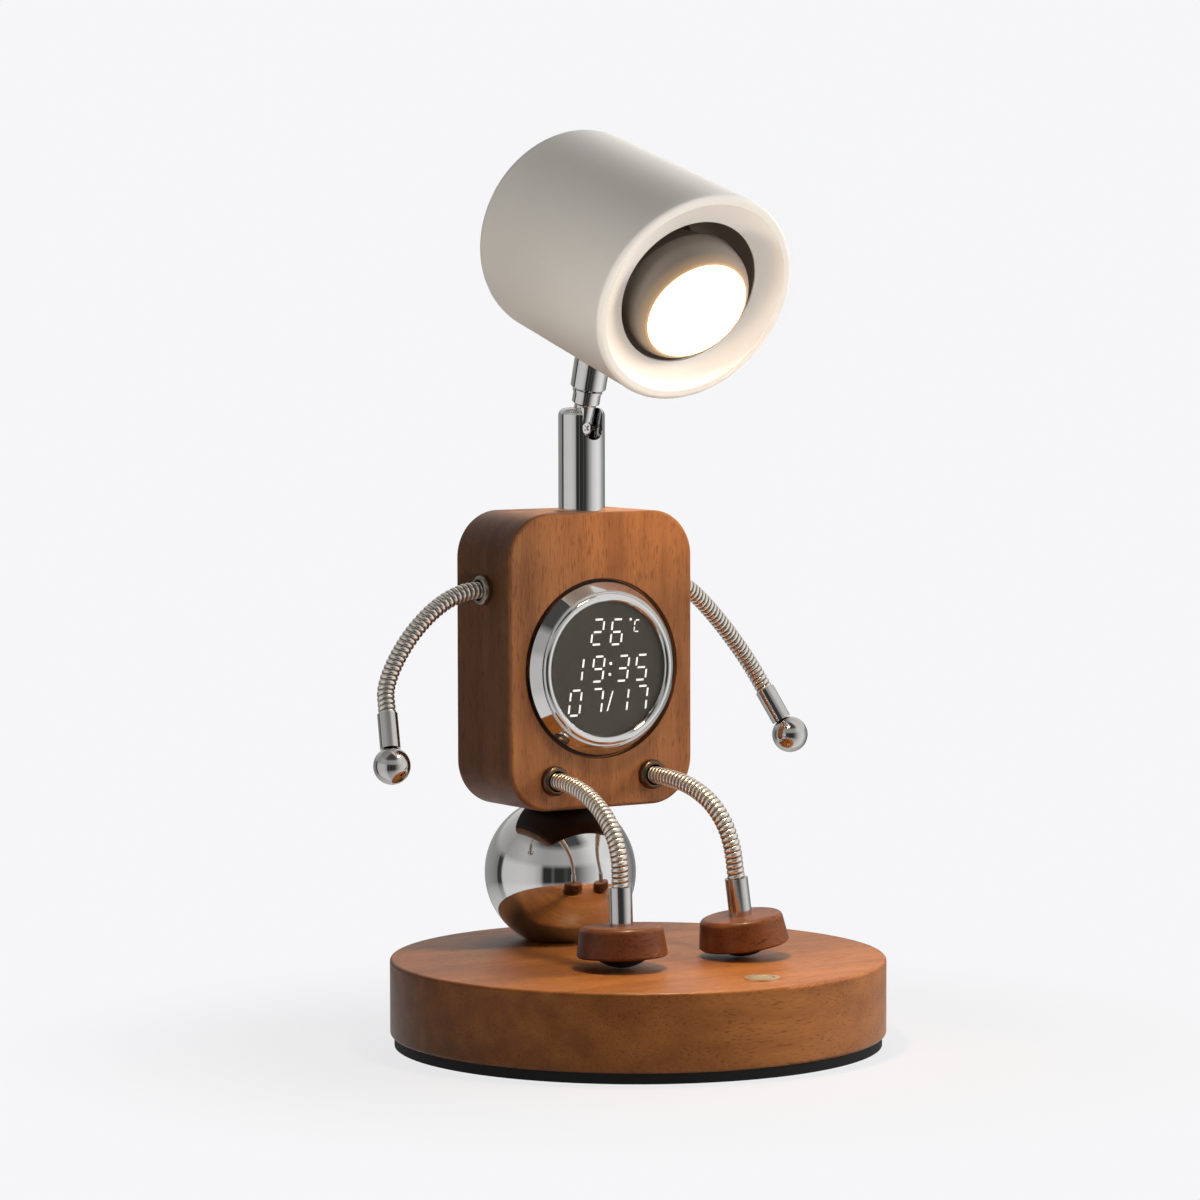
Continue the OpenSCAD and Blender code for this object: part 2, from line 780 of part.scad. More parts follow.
module clock_board() {
  board_r = glass_seat_r - case_wall - case_clear;
  color(board_c) at_clock() translate([0, 0, case_low + case_wall]) {
    cylinder(r = clock_post_r, h = clock_post_h);
    translate([0, 0, clock_post_h]) cylinder(r = board_r, h = board_t);
  }
}

// Neck and knuckle

module neck_tube() {
  low = body_top - neck_in;
  total = neck_top - low;
  slot_reach = neck_r + 1;
  color(chrome_c) at_neck()
  difference() {
    translate([0, 0, low]) rotate_extrude() round_edge_half(neck_r, total, neck_round, 0.3);
    translate([0, 0, low - 1]) cylinder(r = nipple_r + seat_gap, h = total - hinge_drop - neck_solid + 1);
    translate([0, 0, low]) cylinder(r = nipple_bore_r, h = total - hinge_drop);
    translate([0, 0, hinge_z]) {
      sphere(r = slot_r);
      cylinder(r = slot_r, h = hinge_drop + 1);
      rotate([90, 0, 0]) cylinder(r = slot_r, h = slot_reach);
      translate([-slot_r, -slot_reach, 0]) cube([slot_w, slot_reach, hinge_drop + 1]);
      rotate([0, 90, 0]) translate([0, 0, -pin_l / 2 - seat_gap])
        cylinder(r = pin_d / 2 + run_gap, h = pin_l + 2 * seat_gap);
    }
  }
}

module neck_nipple() {
  low = nut_room_top - neck_nut_h - 1;
  color(steel_c) at_neck() translate([0, 0, low])
    tube(nipple_r, nipple_bore_r, body_top + nipple_up - low);
}

module neck_nut() {
  color(steel_c) at_neck() translate([0, 0, nut_room_top - neck_nut_h])
    hex_nut(neck_nut_r, nipple_r + seat_gap, neck_nut_h);
}

module tilt_pin() {
  color(steel_c) at_neck() translate([0, 0, hinge_z]) rotate([0, 90, 0])
    cylinder(r = pin_d / 2, h = pin_l, center = true);
}

module knuckle() {
  flare_h = 0.9;
  color(chrome_c)
  difference() {
    at_hinge() {
      sphere(r = tongue_r);
      cylinder(r = tongue_r, h = post_low);
      translate([0, 0, post_low - flare_h]) cylinder(r1 = tongue_r, r2 = post_d / 2, h = flare_h);
      translate([0, 0, post_low]) cylinder(r = post_d / 2, h = post_h);
      cylinder(r = stud_r, h = stud_top);
    }
    at_hinge() rotate([0, 90, 0]) cylinder(r = pin_d / 2 + run_gap, h = slot_w + 2, center = true);
    translate([0, neck_y - knuckle_screw_in, hinge_z]) rotate([90, 0, 0])
      cylinder(r = knuckle_screw_r + seat_gap, h = slot_w);
  }
}

module knuckle_screw() {
  recess_w = 0.7;
  recess_l = 2.6;
  recess_in = 0.7;
  color(steel_c) translate([0, neck_y - knuckle_screw_in, hinge_z]) rotate([90, 0, 0])
  difference() {
    cylinder(r = knuckle_screw_r, h = knuckle_screw_out - knuckle_screw_in);
    for (a = [45, 135]) rotate(a)
      translate([-recess_l / 2, -recess_w / 2, knuckle_screw_out - knuckle_screw_in - recess_in])
        cube([recess_l, recess_w, 1]);
  }
}

module swivel_ring() {
  color(chrome_c) at_hinge() translate([0, 0, post_top]) tube(post_d / 2 + 0.4, stud_r + seat_gap, ring_t);
}

module head_cup() {
  low_r = cup_d / 2 - 0.9;
  edge = 0.8;
  lip_z = cup_top - cup_lip_t;
  color(chrome_c) at_hinge()
  rotate_extrude()
    polygon([
      [stud_r + run_gap, cup_low], [low_r, cup_low], [low_r + edge, cup_low + edge], [cup_d / 2, lip_z],
      [cup_d / 2 + cup_lip_out, lip_z], [cup_d / 2 + cup_lip_out, cup_top], [stud_r + run_gap, cup_top]
    ]);
}

module head_washer() {
  color(steel_c) at_hinge() translate([0, 0, head_washer_z])
    tube(head_washer_r, stud_r + run_gap, head_washer_t);
}

module head_nut() {
  color(steel_c) at_hinge() translate([0, 0, bracket_z + bracket_t])
    hex_nut(head_nut_r, stud_r + run_gap, head_nut_h);
}

// Shade and lamp

// Outline of a can whose wall leans with the shade, with a rounded back edge
module can_half(inset, back, front) {
  wall_lean = atan(shade_slope);
  round_r = shade_round - inset;
  mid_r = shade_r(back) - inset + shade_slope * round_r - round_r / cos(wall_lean);
  polygon(concat(
    [[0, back]],
    arc_points([mid_r, back + round_r], round_r, -90, -wall_lean),
    [[shade_r(front) - inset, front], [0, front]]
  ));
}

// Leans what is turned about the shade's axis to the slant of its mouth
module slanted() {
  multmatrix([[1, 0, 0, 0], [0, 1, 0, 0], [0, tan(mouth_slant), 1, 0], [0, 0, 0, 1]]) children();
}

module shade() {
  color(white_c)
  difference() {
    at_shade() rotate_extrude()
    difference() {
      can_half(0, shade_back_z, shade_reach + mouth_over);
      can_half(shade_wall, shade_back_z + shade_wall, shade_reach + mouth_over + 1);
    }
    at_mouth() translate([-shade_front_d, -shade_front_d, -lip_h * cos(mouth_slant)])
      cube([2 * shade_front_d, 2 * shade_front_d, 2 * mouth_over + lip_h]);
    at_hinge() cylinder(r = stud_r + run_gap, h = axis_h);
  }
}

// Ring that follows the shade's slanted edge, with a conical mouth square to the slant
module front_ring() {
  out_r = shade_r(ring_seat);
  in_r = out_r - shade_wall - seat_gap - shade_slope * (spigot_l + out_r * tan(mouth_slant));
  mouth_r = mouth_d / 2;
  cone_r = out_r - 2 * lip_round;
  rough_r = mouth_r - 2;
  back_z = shade_reach - mouth_depth - cone_t;
  color(white_c)
  difference() {
    at_shade() slanted() rotate_extrude() {
      polygon([
        [rough_r, back_z], [in_r - spigot_t, ring_seat - cone_t / 2], [in_r - spigot_t, ring_seat - spigot_l],
        [in_r, ring_seat - spigot_l], [in_r, ring_seat], [out_r, ring_seat], [out_r, shade_reach - lip_round],
        [out_r - lip_round, shade_reach], [rough_r, shade_reach]
      ]);
      intersection() {
        translate([out_r - lip_round, shade_reach - lip_round]) circle(lip_round);
        translate([out_r - lip_round, shade_reach - lip_round]) square(lip_round);
      }
    }
    at_mouth() rotate_extrude()
      polygon([
        [0, -2 * mouth_depth], [mouth_r, -2 * mouth_depth], [mouth_r, -mouth_depth], [cone_r, -0.5],
        [cone_r + 1, 1], [0, 1]
      ]);
  }
}

module lamp_sleeve() {
  color(dark_c) at_mouth() translate([0, 0, sleeve_back])
  difference() {
    cylinder(r = sleeve_d / 2 + sleeve_t, h = sleeve_l);
    translate([0, 0, sleeve_t]) cylinder(d = sleeve_d, h = sleeve_l);
    translate([0, 0, -1]) cylinder(r = sleeve_hole_r, h = sleeve_t + 2);
  }
}

module lamp_bracket() {
  color(steel_c)
  difference() {
    union() {
      at_hinge() translate([-bracket_w / 2, -bracket_front, bracket_z])
        cube([bracket_w, bracket_front + bracket_back, bracket_t]);
      at_bulb() translate([-bracket_w / 2, -leg_drop - bracket_t, -holder_l - seat_gap - bracket_t])
        cube([bracket_w, leg_drop + bracket_t + leg_up, bracket_t]);
    }
    at_hinge() cylinder(r = stud_r + run_gap, h = axis_h);
    at_hinge() translate([-bracket_w, -shade_l, 0]) cube([2 * bracket_w, 2 * shade_l, bracket_z]);
  }
}

module lamp_holder() {
  color(white_c) at_bulb()
  difference() {
    translate([0, 0, -holder_l]) cylinder(r = holder_r, h = holder_l);
    for (x = [-1, 1]) translate([x * pin_gap / 2, 0, -bulb_pin_l - 1])
      cylinder(r = bulb_pin_r + move_gap, h = bulb_pin_l + 2);
  }
}

// Reflector bulb whose wide front narrows to the lens in one round shoulder
module bulb_body() {
  bulb_r = bulb_d / 2;
  cap_r = bulb_cap_d / 2;
  lens_r = bulb_lens_d / 2 + seat_gap;
  rim_r = bulb_lens_d / 2 + bulb_lens_rim;
  shoulder_in = bulb_r - rim_r;
  shoulder_r = (pow(shoulder_in, 2) + pow(bulb_shoulder_h, 2)) / (2 * shoulder_in);
  shoulder_low = bulb_l - bulb_shoulder_h;
  color(dark_c) at_bulb()
  rotate_extrude()
  difference() {
    union() {
      polygon([
        [0, 0], [cap_r, 0], [cap_r, bulb_neck_l], [bulb_r, bulb_l - bulb_rim_l],
        [bulb_r, shoulder_low], [rim_r, bulb_l], [0, bulb_l]
      ]);
      intersection() {
        translate([bulb_r - shoulder_r, shoulder_low]) circle(shoulder_r);
        translate([rim_r - 1, shoulder_low]) square([shoulder_in + 1, bulb_shoulder_h]);
      }
    }
    translate([0, bulb_l - bulb_lens_t - seat_gap]) square([lens_r, 2 * bulb_lens_t]);
  }
}

module bulb_lens() {
  crown = 1.2;
  dome_r = (pow(bulb_lens_d / 2, 2) + crown * crown) / (2 * crown);
  color(glow_c) at_bulb()
  intersection() {
    translate([0, 0, bulb_l - bulb_lens_t]) cylinder(d = bulb_lens_d, h = bulb_lens_t + crown);
    translate([0, 0, bulb_l + crown - dome_r]) sphere(r = dome_r);
  }
}

module bulb_pins() {
  color(steel_c) at_bulb()
  for (x = [-1, 1]) translate([x * pin_gap / 2, 0, -bulb_pin_l]) cylinder(r = bulb_pin_r, h = bulb_pin_l);
}

// Limbs

// Collar with its sleeve: the stem stands on the floor of its recess
module collar() {
  color(chrome_c)
  difference() {
    union() {
      rotate_extrude() round_edge_half(collar_d / 2, collar_h, collar_round, collar_low_round);
      translate([0, 0, -collar_deep]) cylinder(d = collar_sleeve_d, h = collar_deep + 1);
    }
    translate([0, 0, -stem_seat]) cylinder(r = collar_bore_r, h = stem_seat + collar_h + 1);
    translate([0, 0, -collar_deep - 1]) cylinder(d = stem_bore, h = collar_deep);
  }
}

function arm_end(hand, lean) = hand - lean_dir(lean) * (hand_flat + arm_ferrule_l);

module arm_stem(sx, hand, lean, reach) {
  seat = [sx * (body_half - stem_seat), body_back - arm_fwd, body_low + arm_rise];
  color(steel_c)
    ribbed_stem(stem_curve(seat, [sx, 0, 0], arm_end(hand, lean), lean_dir(lean), reach), [0, 1, 0]);
}

module arm_ferrule(hand, lean) {
  color(chrome_c) translate(hand) against(lean) {
    translate([0, 0, hand_flat]) cylinder(d = arm_ferrule_d, h = arm_ferrule_l);
    translate([0, 0, hand_flat - ferrule_stud_l]) cylinder(r = ferrule_stud_r, h = ferrule_stud_l + 1);
  }
}

module hand_ball(hand, lean) {
  color(chrome_c) translate(hand) against(lean)
  difference() {
    sphere(r = hand_r);
    translate([-hand_d / 2, -hand_d / 2, hand_flat]) cube([hand_d, hand_d, hand_d]);
    translate([0, 0, hand_flat - ferrule_stud_l - seat_gap])
      cylinder(r = ferrule_stud_r + seat_gap, h = hand_d);
  }
}

// Middle of the round underside of a foot's pad
function pad_middle(place) = [place[0], place[1], base_top + move_gap + pad_ball_r];
function foot_low(place, lean) = pad_middle(place) + lean_dir(lean) * (pad_ball_r - foot_pad_h);
function leg_end(place, lean) = foot_low(place, lean) - lean_dir(lean) * (foot_h + leg_ferrule_l);

module leg_stem(sx, place, lean, reach) {
  seat = [sx * leg_x, body_front + stem_seat, body_low + leg_rise];
  color(steel_c)
    ribbed_stem(stem_curve(seat, [0, -1, 0], leg_end(place, lean), lean_dir(lean), reach), [1, 0, 0]);
}

module leg_ferrule(place, lean) {
  color(chrome_c) translate(foot_low(place, lean)) against(lean) {
    translate([0, 0, foot_h]) cylinder(d = leg_ferrule_d, h = leg_ferrule_l);
    translate([0, 0, foot_h - ferrule_stud_l]) cylinder(r = ferrule_stud_r, h = ferrule_stud_l + 1);
  }
}

module foot(place, lean) {
  low_round = 0.8;
  low_r = foot_d / 2;
  top_r = foot_top_d / 2;
  color(dark_wood_c) translate(foot_low(place, lean)) against(lean)
  difference() {
    rotate_extrude() {
      polygon([
        [0, 0], [low_r - low_round, 0], [low_r, low_round], [top_r, foot_h - foot_round],
        [top_r - foot_round, foot_h], [0, foot_h]
      ]);
      translate([top_r - foot_round, foot_h - foot_round]) circle(foot_round);
    }
    translate([0, 0, foot_h - ferrule_stud_l - seat_gap])
      cylinder(r = ferrule_stud_r + seat_gap, h = foot_h);
  }
}

module foot_pad(place, lean) {
  color(black_c) translate(foot_low(place, lean)) against(lean)
  intersection() {
    translate([0, 0, pad_ball_r - foot_pad_h]) sphere(r = pad_ball_r);
    translate([-foot_pad_d, -foot_pad_d, -foot_pad_d]) cube([2 * foot_pad_d, 2 * foot_pad_d, foot_pad_d]);
  }
}

base_disc();
base_pad();
base_plate();
plate_screws();
cord_bushing();
control_board();
switch_bezel();
switch_nut();
switch_button();
switch_contact();
spine_rod();
rod_washer();
rod_nut();
ball();
body_insert();
body();
clock_bezel();
clock_glass();
clock_display();
clock_case();
clock_board();
neck_tube();
neck_nipple();
neck_nut();
tilt_pin();
knuckle();
knuckle_screw();
swivel_ring();
head_cup();
head_washer();
head_nut();
shade();
front_ring();
lamp_sleeve();
lamp_bracket();
lamp_holder();
bulb_body();
bulb_lens();
bulb_pins();
at_arm(-1) collar();  // arm_collar_left
at_arm(1) collar();  // arm_collar_right
arm_stem(-1, hand_left, hand_lean_left, arm_curve_left);  // arm_stem_left
arm_stem(1, hand_right, hand_lean_right, arm_curve_right);  // arm_stem_right
arm_ferrule(hand_left, hand_lean_left);  // arm_ferrule_left
arm_ferrule(hand_right, hand_lean_right);  // arm_ferrule_right
hand_ball(hand_left, hand_lean_left);  // hand_ball_left
hand_ball(hand_right, hand_lean_right);  // hand_ball_right
at_leg(-1) collar();  // leg_collar_left
at_leg(1) collar();  // leg_collar_right
leg_stem(-1, foot_place_left, foot_lean_left, leg_curve_left);  // leg_stem_left
leg_stem(1, foot_place_right, foot_lean_right, leg_curve_right);  // leg_stem_right
leg_ferrule(foot_place_left, foot_lean_left);  // leg_ferrule_left
leg_ferrule(foot_place_right, foot_lean_right);  // leg_ferrule_right
foot(foot_place_left, foot_lean_left);  // foot_left
foot(foot_place_right, foot_lean_right);  // foot_right
foot_pad(foot_place_left, foot_lean_left);  // foot_pad_left
foot_pad(foot_place_right, foot_lean_right);  // foot_pad_right
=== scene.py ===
"""Looks of the clock table lamp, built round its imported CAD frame.

Lengths in the classes are millimetres, as in the part's source, and become metres when a mesh is placed.
The studio's own lengths are metres.
"""

from __future__ import annotations

import logging
import math
from bisect import bisect_right
from dataclasses import dataclass
from enum import Enum

import bmesh
import bpy
from mathutils import Matrix, Vector

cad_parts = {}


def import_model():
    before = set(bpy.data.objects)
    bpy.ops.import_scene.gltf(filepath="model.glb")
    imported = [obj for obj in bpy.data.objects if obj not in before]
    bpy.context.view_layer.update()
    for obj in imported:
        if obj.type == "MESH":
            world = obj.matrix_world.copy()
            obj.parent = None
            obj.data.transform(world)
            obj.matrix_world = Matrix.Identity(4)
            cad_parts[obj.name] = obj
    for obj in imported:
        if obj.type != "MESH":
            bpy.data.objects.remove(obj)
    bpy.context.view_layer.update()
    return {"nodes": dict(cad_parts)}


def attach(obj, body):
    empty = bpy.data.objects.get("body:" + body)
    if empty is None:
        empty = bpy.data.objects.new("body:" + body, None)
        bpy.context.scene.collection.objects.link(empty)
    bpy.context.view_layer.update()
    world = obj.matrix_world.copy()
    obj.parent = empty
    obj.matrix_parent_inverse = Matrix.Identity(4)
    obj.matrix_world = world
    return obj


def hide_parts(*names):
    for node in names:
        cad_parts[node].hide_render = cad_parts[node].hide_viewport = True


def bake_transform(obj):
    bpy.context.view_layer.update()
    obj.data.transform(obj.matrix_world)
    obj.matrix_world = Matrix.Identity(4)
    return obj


LOG = logging.getLogger("clock_lamp")
MM = 0.001
ORIGIN = (0.0, 0.0, 0.0)
WHITE = (1.0, 1.0, 1.0)

Colour = tuple[float, float, float]
Pair = tuple[float, float]
Tree = bpy.types.NodeTree
Node = bpy.types.Node
Socket = bpy.types.NodeSocket
BMesh = bmesh.types.BMesh
Corners = list[bmesh.types.BMVert]
Piece = bpy.types.Object


class Body(Enum):
    """The CAD bodies that pieces ride on."""

    STAND = "stand"
    HEAD = "head"
    HAND_LEFT = "hand_left"
    HAND_RIGHT = "hand_right"
    FOOT_LEFT = "foot_left"
    FOOT_RIGHT = "foot_right"


class Grain(Enum):
    """Turn that brings a wood's grain onto the Z axis of its pattern."""

    UPRIGHT = (0.0, 0.0, 0.0)
    ACROSS = (0.0, -math.pi / 2, 0.0)


def rgba(colour: Colour) -> tuple[float, float, float, float]:
    """Gives a colour its alpha of one."""
    return (*colour, 1.0)


def feed(tree: Tree, node: Node, inputs: dict) -> None:
    """Sets or links a node's inputs.

    Args:
        tree: The node tree that holds the node.
        node: The node.
        inputs: Input name or index to a value, or to an output socket that is linked.
    """
    for key, value in inputs.items():
        if isinstance(value, Socket):
            tree.links.new(value, node.inputs[key])
        else:
            node.inputs[key].default_value = value


def add_node(tree: Tree, kind: str, inputs: dict | None = None, **props: object) -> Node:
    """Adds a node and sets or links its inputs.

    Args:
        tree: The node tree that takes the node.
        kind: The node's type name.
        inputs: Input name or index to a value, or to an output socket that is linked.
        props: Properties of the node.

    Returns:
        The new node.
    """
    node = tree.nodes.new(kind)
    for name, value in props.items():
        setattr(node, name, value)
    feed(tree, node, inputs or {})
    return node


def maths(tree: Tree, operation: str, *values: object) -> Socket:
    """Adds a Math node.

    Args:
        tree: The node tree that takes the node.
        operation: The operation's name.
        values: Numbers or sockets, in order.

    Returns:
        The result's socket.
    """
    return add_node(tree, "ShaderNodeMath", dict(enumerate(values)), operation=operation).outputs[0]


def climb(tree: Tree, value: Socket, low: float, high: float, least: float = 0.0,
          kind: str = "LINEAR") -> Socket:
    """Adds a Map Range node that climbs to one.

    Args:
        tree: The node tree that takes the node.
        value: What is mapped.
        low: Where the climb starts.
        high: Where it ends.
        least: The result where it starts.
        kind: How the climb is shaped.

    Returns:
        The mapped value.
    """
    inputs = {0: value, 1: low, 2: high, 3: least, 4: 1.0}
    return add_node(tree, "ShaderNodeMapRange", inputs, interpolation_type=kind).outputs[0]


def ramp(tree: Tree, value: Socket, stops: list[tuple[float, Colour]]) -> Socket:
    """Adds a colour ramp.

    Args:
        tree: The node tree that takes the node.
        value: What the ramp reads.
        stops: Place and colour of each stop.

    Returns:
        The ramp's colour.
    """
    node = add_node(tree, "ShaderNodeValToRGB", {0: value})
    bar = node.color_ramp.elements
    while len(bar) < len(stops):
        bar.new(0.5)
    for stop, (place, colour) in zip(bar, stops):
        stop.position = place
        stop.color = rgba(colour)
    return node.outputs[0]


def mix_colour(tree: Tree, factor: object, a: object, b: object) -> Socket:
    """Adds a colour Mix node.

    Args:
        tree: The node tree that takes the node.
        factor: Share of the second colour.
        a: First colour.
        b: Second colour.

    Returns:
        The mixed colour.
    """
    return add_node(tree, "ShaderNodeMix", {0: factor, 6: a, 7: b}, data_type="RGBA").outputs[2]


def noise(tree: Tree, vector: Socket, scale: float | Socket, detail: float = 2.0,
          rough: float = 0.5) -> Socket:
    """Adds a noise texture.

    Args:
        tree: The node tree that takes the node.
        vector: Where the noise is read.
        scale: Its scale.
        detail: Its detail.
        rough: Its roughness.

    Returns:
        The noise's value.
    """
    inputs = {"Vector": vector, "Scale": scale, "Detail": detail, "Roughness": rough}
    return add_node(tree, "ShaderNodeTexNoise", inputs).outputs[0]


def stretched(tree: Tree, vector: Socket, scale: Colour) -> Socket:
    """Scales a vector on its three axes and returns the result."""
    return add_node(tree, "ShaderNodeVectorMath", {0: vector, 1: scale}, operation="MULTIPLY").outputs[0]


def away_from(tree: Tree, where: Socket, middle: Colour) -> Socket:
    """Gives the distance of a place from a fixed point."""
    node = add_node(tree, "ShaderNodeVectorMath", {0: where, 1: middle}, operation="DISTANCE")
    return node.outputs["Value"]


class Effects:
    """Shader node groups that several finishes share, each built once."""

    @staticmethod
    def _group(name: str, inputs: dict[str, str], outputs: dict[str, str]) -> tuple[Tree, bool]:
        """Finds or starts a group.

        Args:
            name: The group's name.
            inputs: Name and kind of each input.
            outputs: Name and kind of each output.

        Returns:
            The group, and whether it is new and still empty.
        """
        old = bpy.data.node_groups.get(name)
        if old is not None:
            return old, False
        tree = bpy.data.node_groups.new(name, "ShaderNodeTree")
        for way, sockets in (("INPUT", inputs), ("OUTPUT", outputs)):
            for key, kind in sockets.items():
                tree.interface.new_socket(key, in_out=way, socket_type=f"NodeSocket{kind}")
        return tree, True

    @classmethod
    def wood(cls) -> Tree:
        """Builds the figure of close-grained wood along Z, read in millimetres.

        Returns:
            The group.
        """
        tree, new = cls._group(
            "wood_figure",
            {"Vector": "Vector", "Light": "Color", "Dark": "Color", "Pore": "Color", "Pores": "Float"},
            {"Color": "Color", "Roughness": "Float", "Height": "Float"},
        )
        if not new:
            return tree
        start = tree.nodes.new("NodeGroupInput")
        end = tree.nodes.new("NodeGroupOutput")
        where = start.outputs["Vector"]
        sway = noise(tree, stretched(tree, where, (0.03, 0.03, 0.012)), 1.0, 2.0)
        push = add_node(tree, "ShaderNodeCombineXYZ", {0: maths(tree, "MULTIPLY", sway, 7.0)}).outputs[0]
        bent = add_node(tree, "ShaderNodeVectorMath", {0: where, 1: push}, operation="ADD").outputs[0]
        broad = noise(tree, stretched(tree, bent, (0.11, 0.11, 0.011)), 1.0, 4.0, 0.55)
        fibre = noise(tree, stretched(tree, bent, (1.6, 1.6, 0.05)), 1.0, 3.0, 0.6)
        fleck = noise(tree, stretched(tree, bent, (1.9, 1.9, 0.20)), 1.0, 2.0, 0.5)
        crowd = noise(tree, stretched(tree, bent, (0.16, 0.16, 0.03)), 1.0, 3.0, 0.6)
        cloud = noise(tree, where, 0.035, 3.0, 0.6)
        tone = maths(tree, "ADD", maths(tree, "MULTIPLY", broad, 0.62), maths(tree, "MULTIPLY", fibre, 0.25))
        tone = maths(tree, "ADD", tone, maths(tree, "MULTIPLY", cloud, 0.28))
        base = mix_colour(tree, climb(tree, tone, 0.42, 0.72), start.outputs["Dark"], start.outputs["Light"])
        fleck = maths(tree, "MULTIPLY_ADD", crowd, 0.22, fleck)
        pore = maths(tree, "MULTIPLY", climb(tree, fleck, 0.68, 0.78), start.outputs["Pores"])
        rough = maths(tree, "ADD", maths(tree, "MULTIPLY", fibre, 0.16), 0.30)
        feed(tree, end, {
            "Color": mix_colour(tree, pore, base, start.outputs["Pore"]),
            "Roughness": maths(tree, "ADD", rough, maths(tree, "MULTIPLY", pore, 0.2)),
            "Height": maths(tree, "SUBTRACT", maths(tree, "MULTIPLY", fibre, 0.35), pore),
        })
        return tree

    @classmethod
    def scuffs(cls) -> Tree:
        """Builds the hairlines and smears of polished metal, read in millimetres.

        Returns:
            The group.
        """
        tree, new = cls._group(
            "metal_scuffs",
            {"Vector": "Vector", "Rough": "Float", "Smear": "Float", "Hairline": "Float"},
            {"Roughness": "Float", "Height": "Float", "Tone": "Float"},
        )
        if not new:
            return tree
        start = tree.nodes.new("NodeGroupInput")
        end = tree.nodes.new("NodeGroupOutput")
        where = start.outputs["Vector"]
        smear = noise(tree, where, 0.09, 4.0, 0.6)
        hair = noise(tree, stretched(tree, where, (0.25, 6.0, 9.0)), 1.0, 2.0, 0.6)
        rough = maths(tree, "MULTIPLY_ADD", smear, start.outputs["Smear"], start.outputs["Rough"])
        rough = maths(tree, "MULTIPLY_ADD", hair, start.outputs["Hairline"], rough)
        feed(tree, end, {"Roughness": rough, "Height": hair, "Tone": smear})
        return tree

    @classmethod
    def speckle(cls) -> Tree:
        """Builds the fine orange peel of paint and moulded plastic, read in millimetres.

        Returns:
            The group.
        """
        tree, new = cls._group(
            "fine_speckle",
            {"Vector": "Vector", "Size": "Float"},
            {"Tone": "Float", "Height": "Float"},
        )
        if not new:
            return tree
        start = tree.nodes.new("NodeGroupInput")
        end = tree.nodes.new("NodeGroupOutput")
        where = start.outputs["Vector"]
        fine = noise(tree, where, start.outputs["Size"], 3.0)
        feed(tree, end, {"Tone": noise(tree, where, 0.05, 4.0, 0.6), "Height": fine})
        return tree


@dataclass(frozen=True)
class Finish:
    """A procedural material with a Principled shader."""

    name: str

    def build(self) -> bpy.types.Material:
        """Makes the material, or finds it if it was made before.

        Returns:
            The material.
        """
        own_name = f"{self.name}_finish"
        old = bpy.data.materials.get(own_name)
        if old is not None:
            return old
        material = bpy.data.materials.new(own_name)
        material.use_nodes = True
        tree = material.node_tree
        self.wire(tree, tree.nodes["Principled BSDF"])
        return material

    def wire(self, tree: Tree, shader: Node) -> None:
        """Sets the shader's sockets and their nodes.

        Args:
            tree: The material's node tree.
            shader: Its Principled shader.
        """
        raise NotImplementedError

    @staticmethod
    def place(tree: Tree, turn: Colour = ORIGIN, shift: Colour = ORIGIN) -> Socket:
        """Reads Object coordinates in millimetres.

        Args:
            tree: The material's node tree.
            turn: Turn of the pattern, in radians.
            shift: Shift of the pattern, in millimetres.

        Returns:
            The mapped coordinates.
        """
        where = add_node(tree, "ShaderNodeTexCoord").outputs["Object"]
        scale = (1.0 / MM, 1.0 / MM, 1.0 / MM)
        inputs = {"Vector": where, "Location": shift, "Rotation": turn, "Scale": scale}
        return add_node(tree, "ShaderNodeMapping", inputs).outputs[0]

    @staticmethod
    def bump(tree: Tree, height: Socket, strength: float, depth: float) -> Socket:
        """Turns a height into a normal.

        Args:
            tree: The material's node tree.
            height: The height.
            strength: Strength of the bump.
            depth: Depth of the bump, in metres.

        Returns:
            The normal.
        """
        inputs = {"Strength": strength, "Distance": depth, "Height": height}
        return add_node(tree, "ShaderNodeBump", inputs).outputs[0]

    @staticmethod
    def mottled(tree: Tree, colour: Colour, tone: float, share: Socket) -> Socket:
        """Makes a colour that is a little darker in places.

        Args:
            tree: The material's node tree.
            colour: The colour.
            tone: Half of how much darker it gets.
            share: Where it keeps its full brightness.

        Returns:
            The uneven colour.
        """
        deep = tuple(c * (1.0 - 2.0 * tone) for c in colour)
        return mix_colour(tree, share, rgba(deep), rgba(colour))


@dataclass(frozen=True)
class Wood(Finish):
    """Oiled, close-grained wood."""

    light: Colour
    dark: Colour
    pore: Colour
    grain: Grain
    pores: float = 0.55
    coat: float = 0.04
    coat_rough: float = 0.3
    specular: float = 0.2
    relief: float = 0.25
    relief_depth: float = 0.0001
    shift: Colour = ORIGIN

    def wire(self, tree: Tree, shader: Node) -> None:
        """Sets the shader's sockets and their nodes.

        Args:
            tree: The material's node tree.
            shader: Its Principled shader.
        """
        inputs = {
            "Vector": self.place(tree, self.grain.value, self.shift), "Pores": self.pores,
            "Light": rgba(self.light), "Dark": rgba(self.dark), "Pore": rgba(self.pore),
        }
        group = add_node(tree, "ShaderNodeGroup", inputs, node_tree=Effects.wood())
        feed(tree, shader, {
            "Base Color": group.outputs["Color"],
            "Roughness": group.outputs["Roughness"],
            "Coat Weight": self.coat,
            "Coat Roughness": self.coat_rough,
            "Specular IOR Level": self.specular,
            "Normal": self.bump(tree, group.outputs["Height"], self.relief, self.relief_depth),
        })


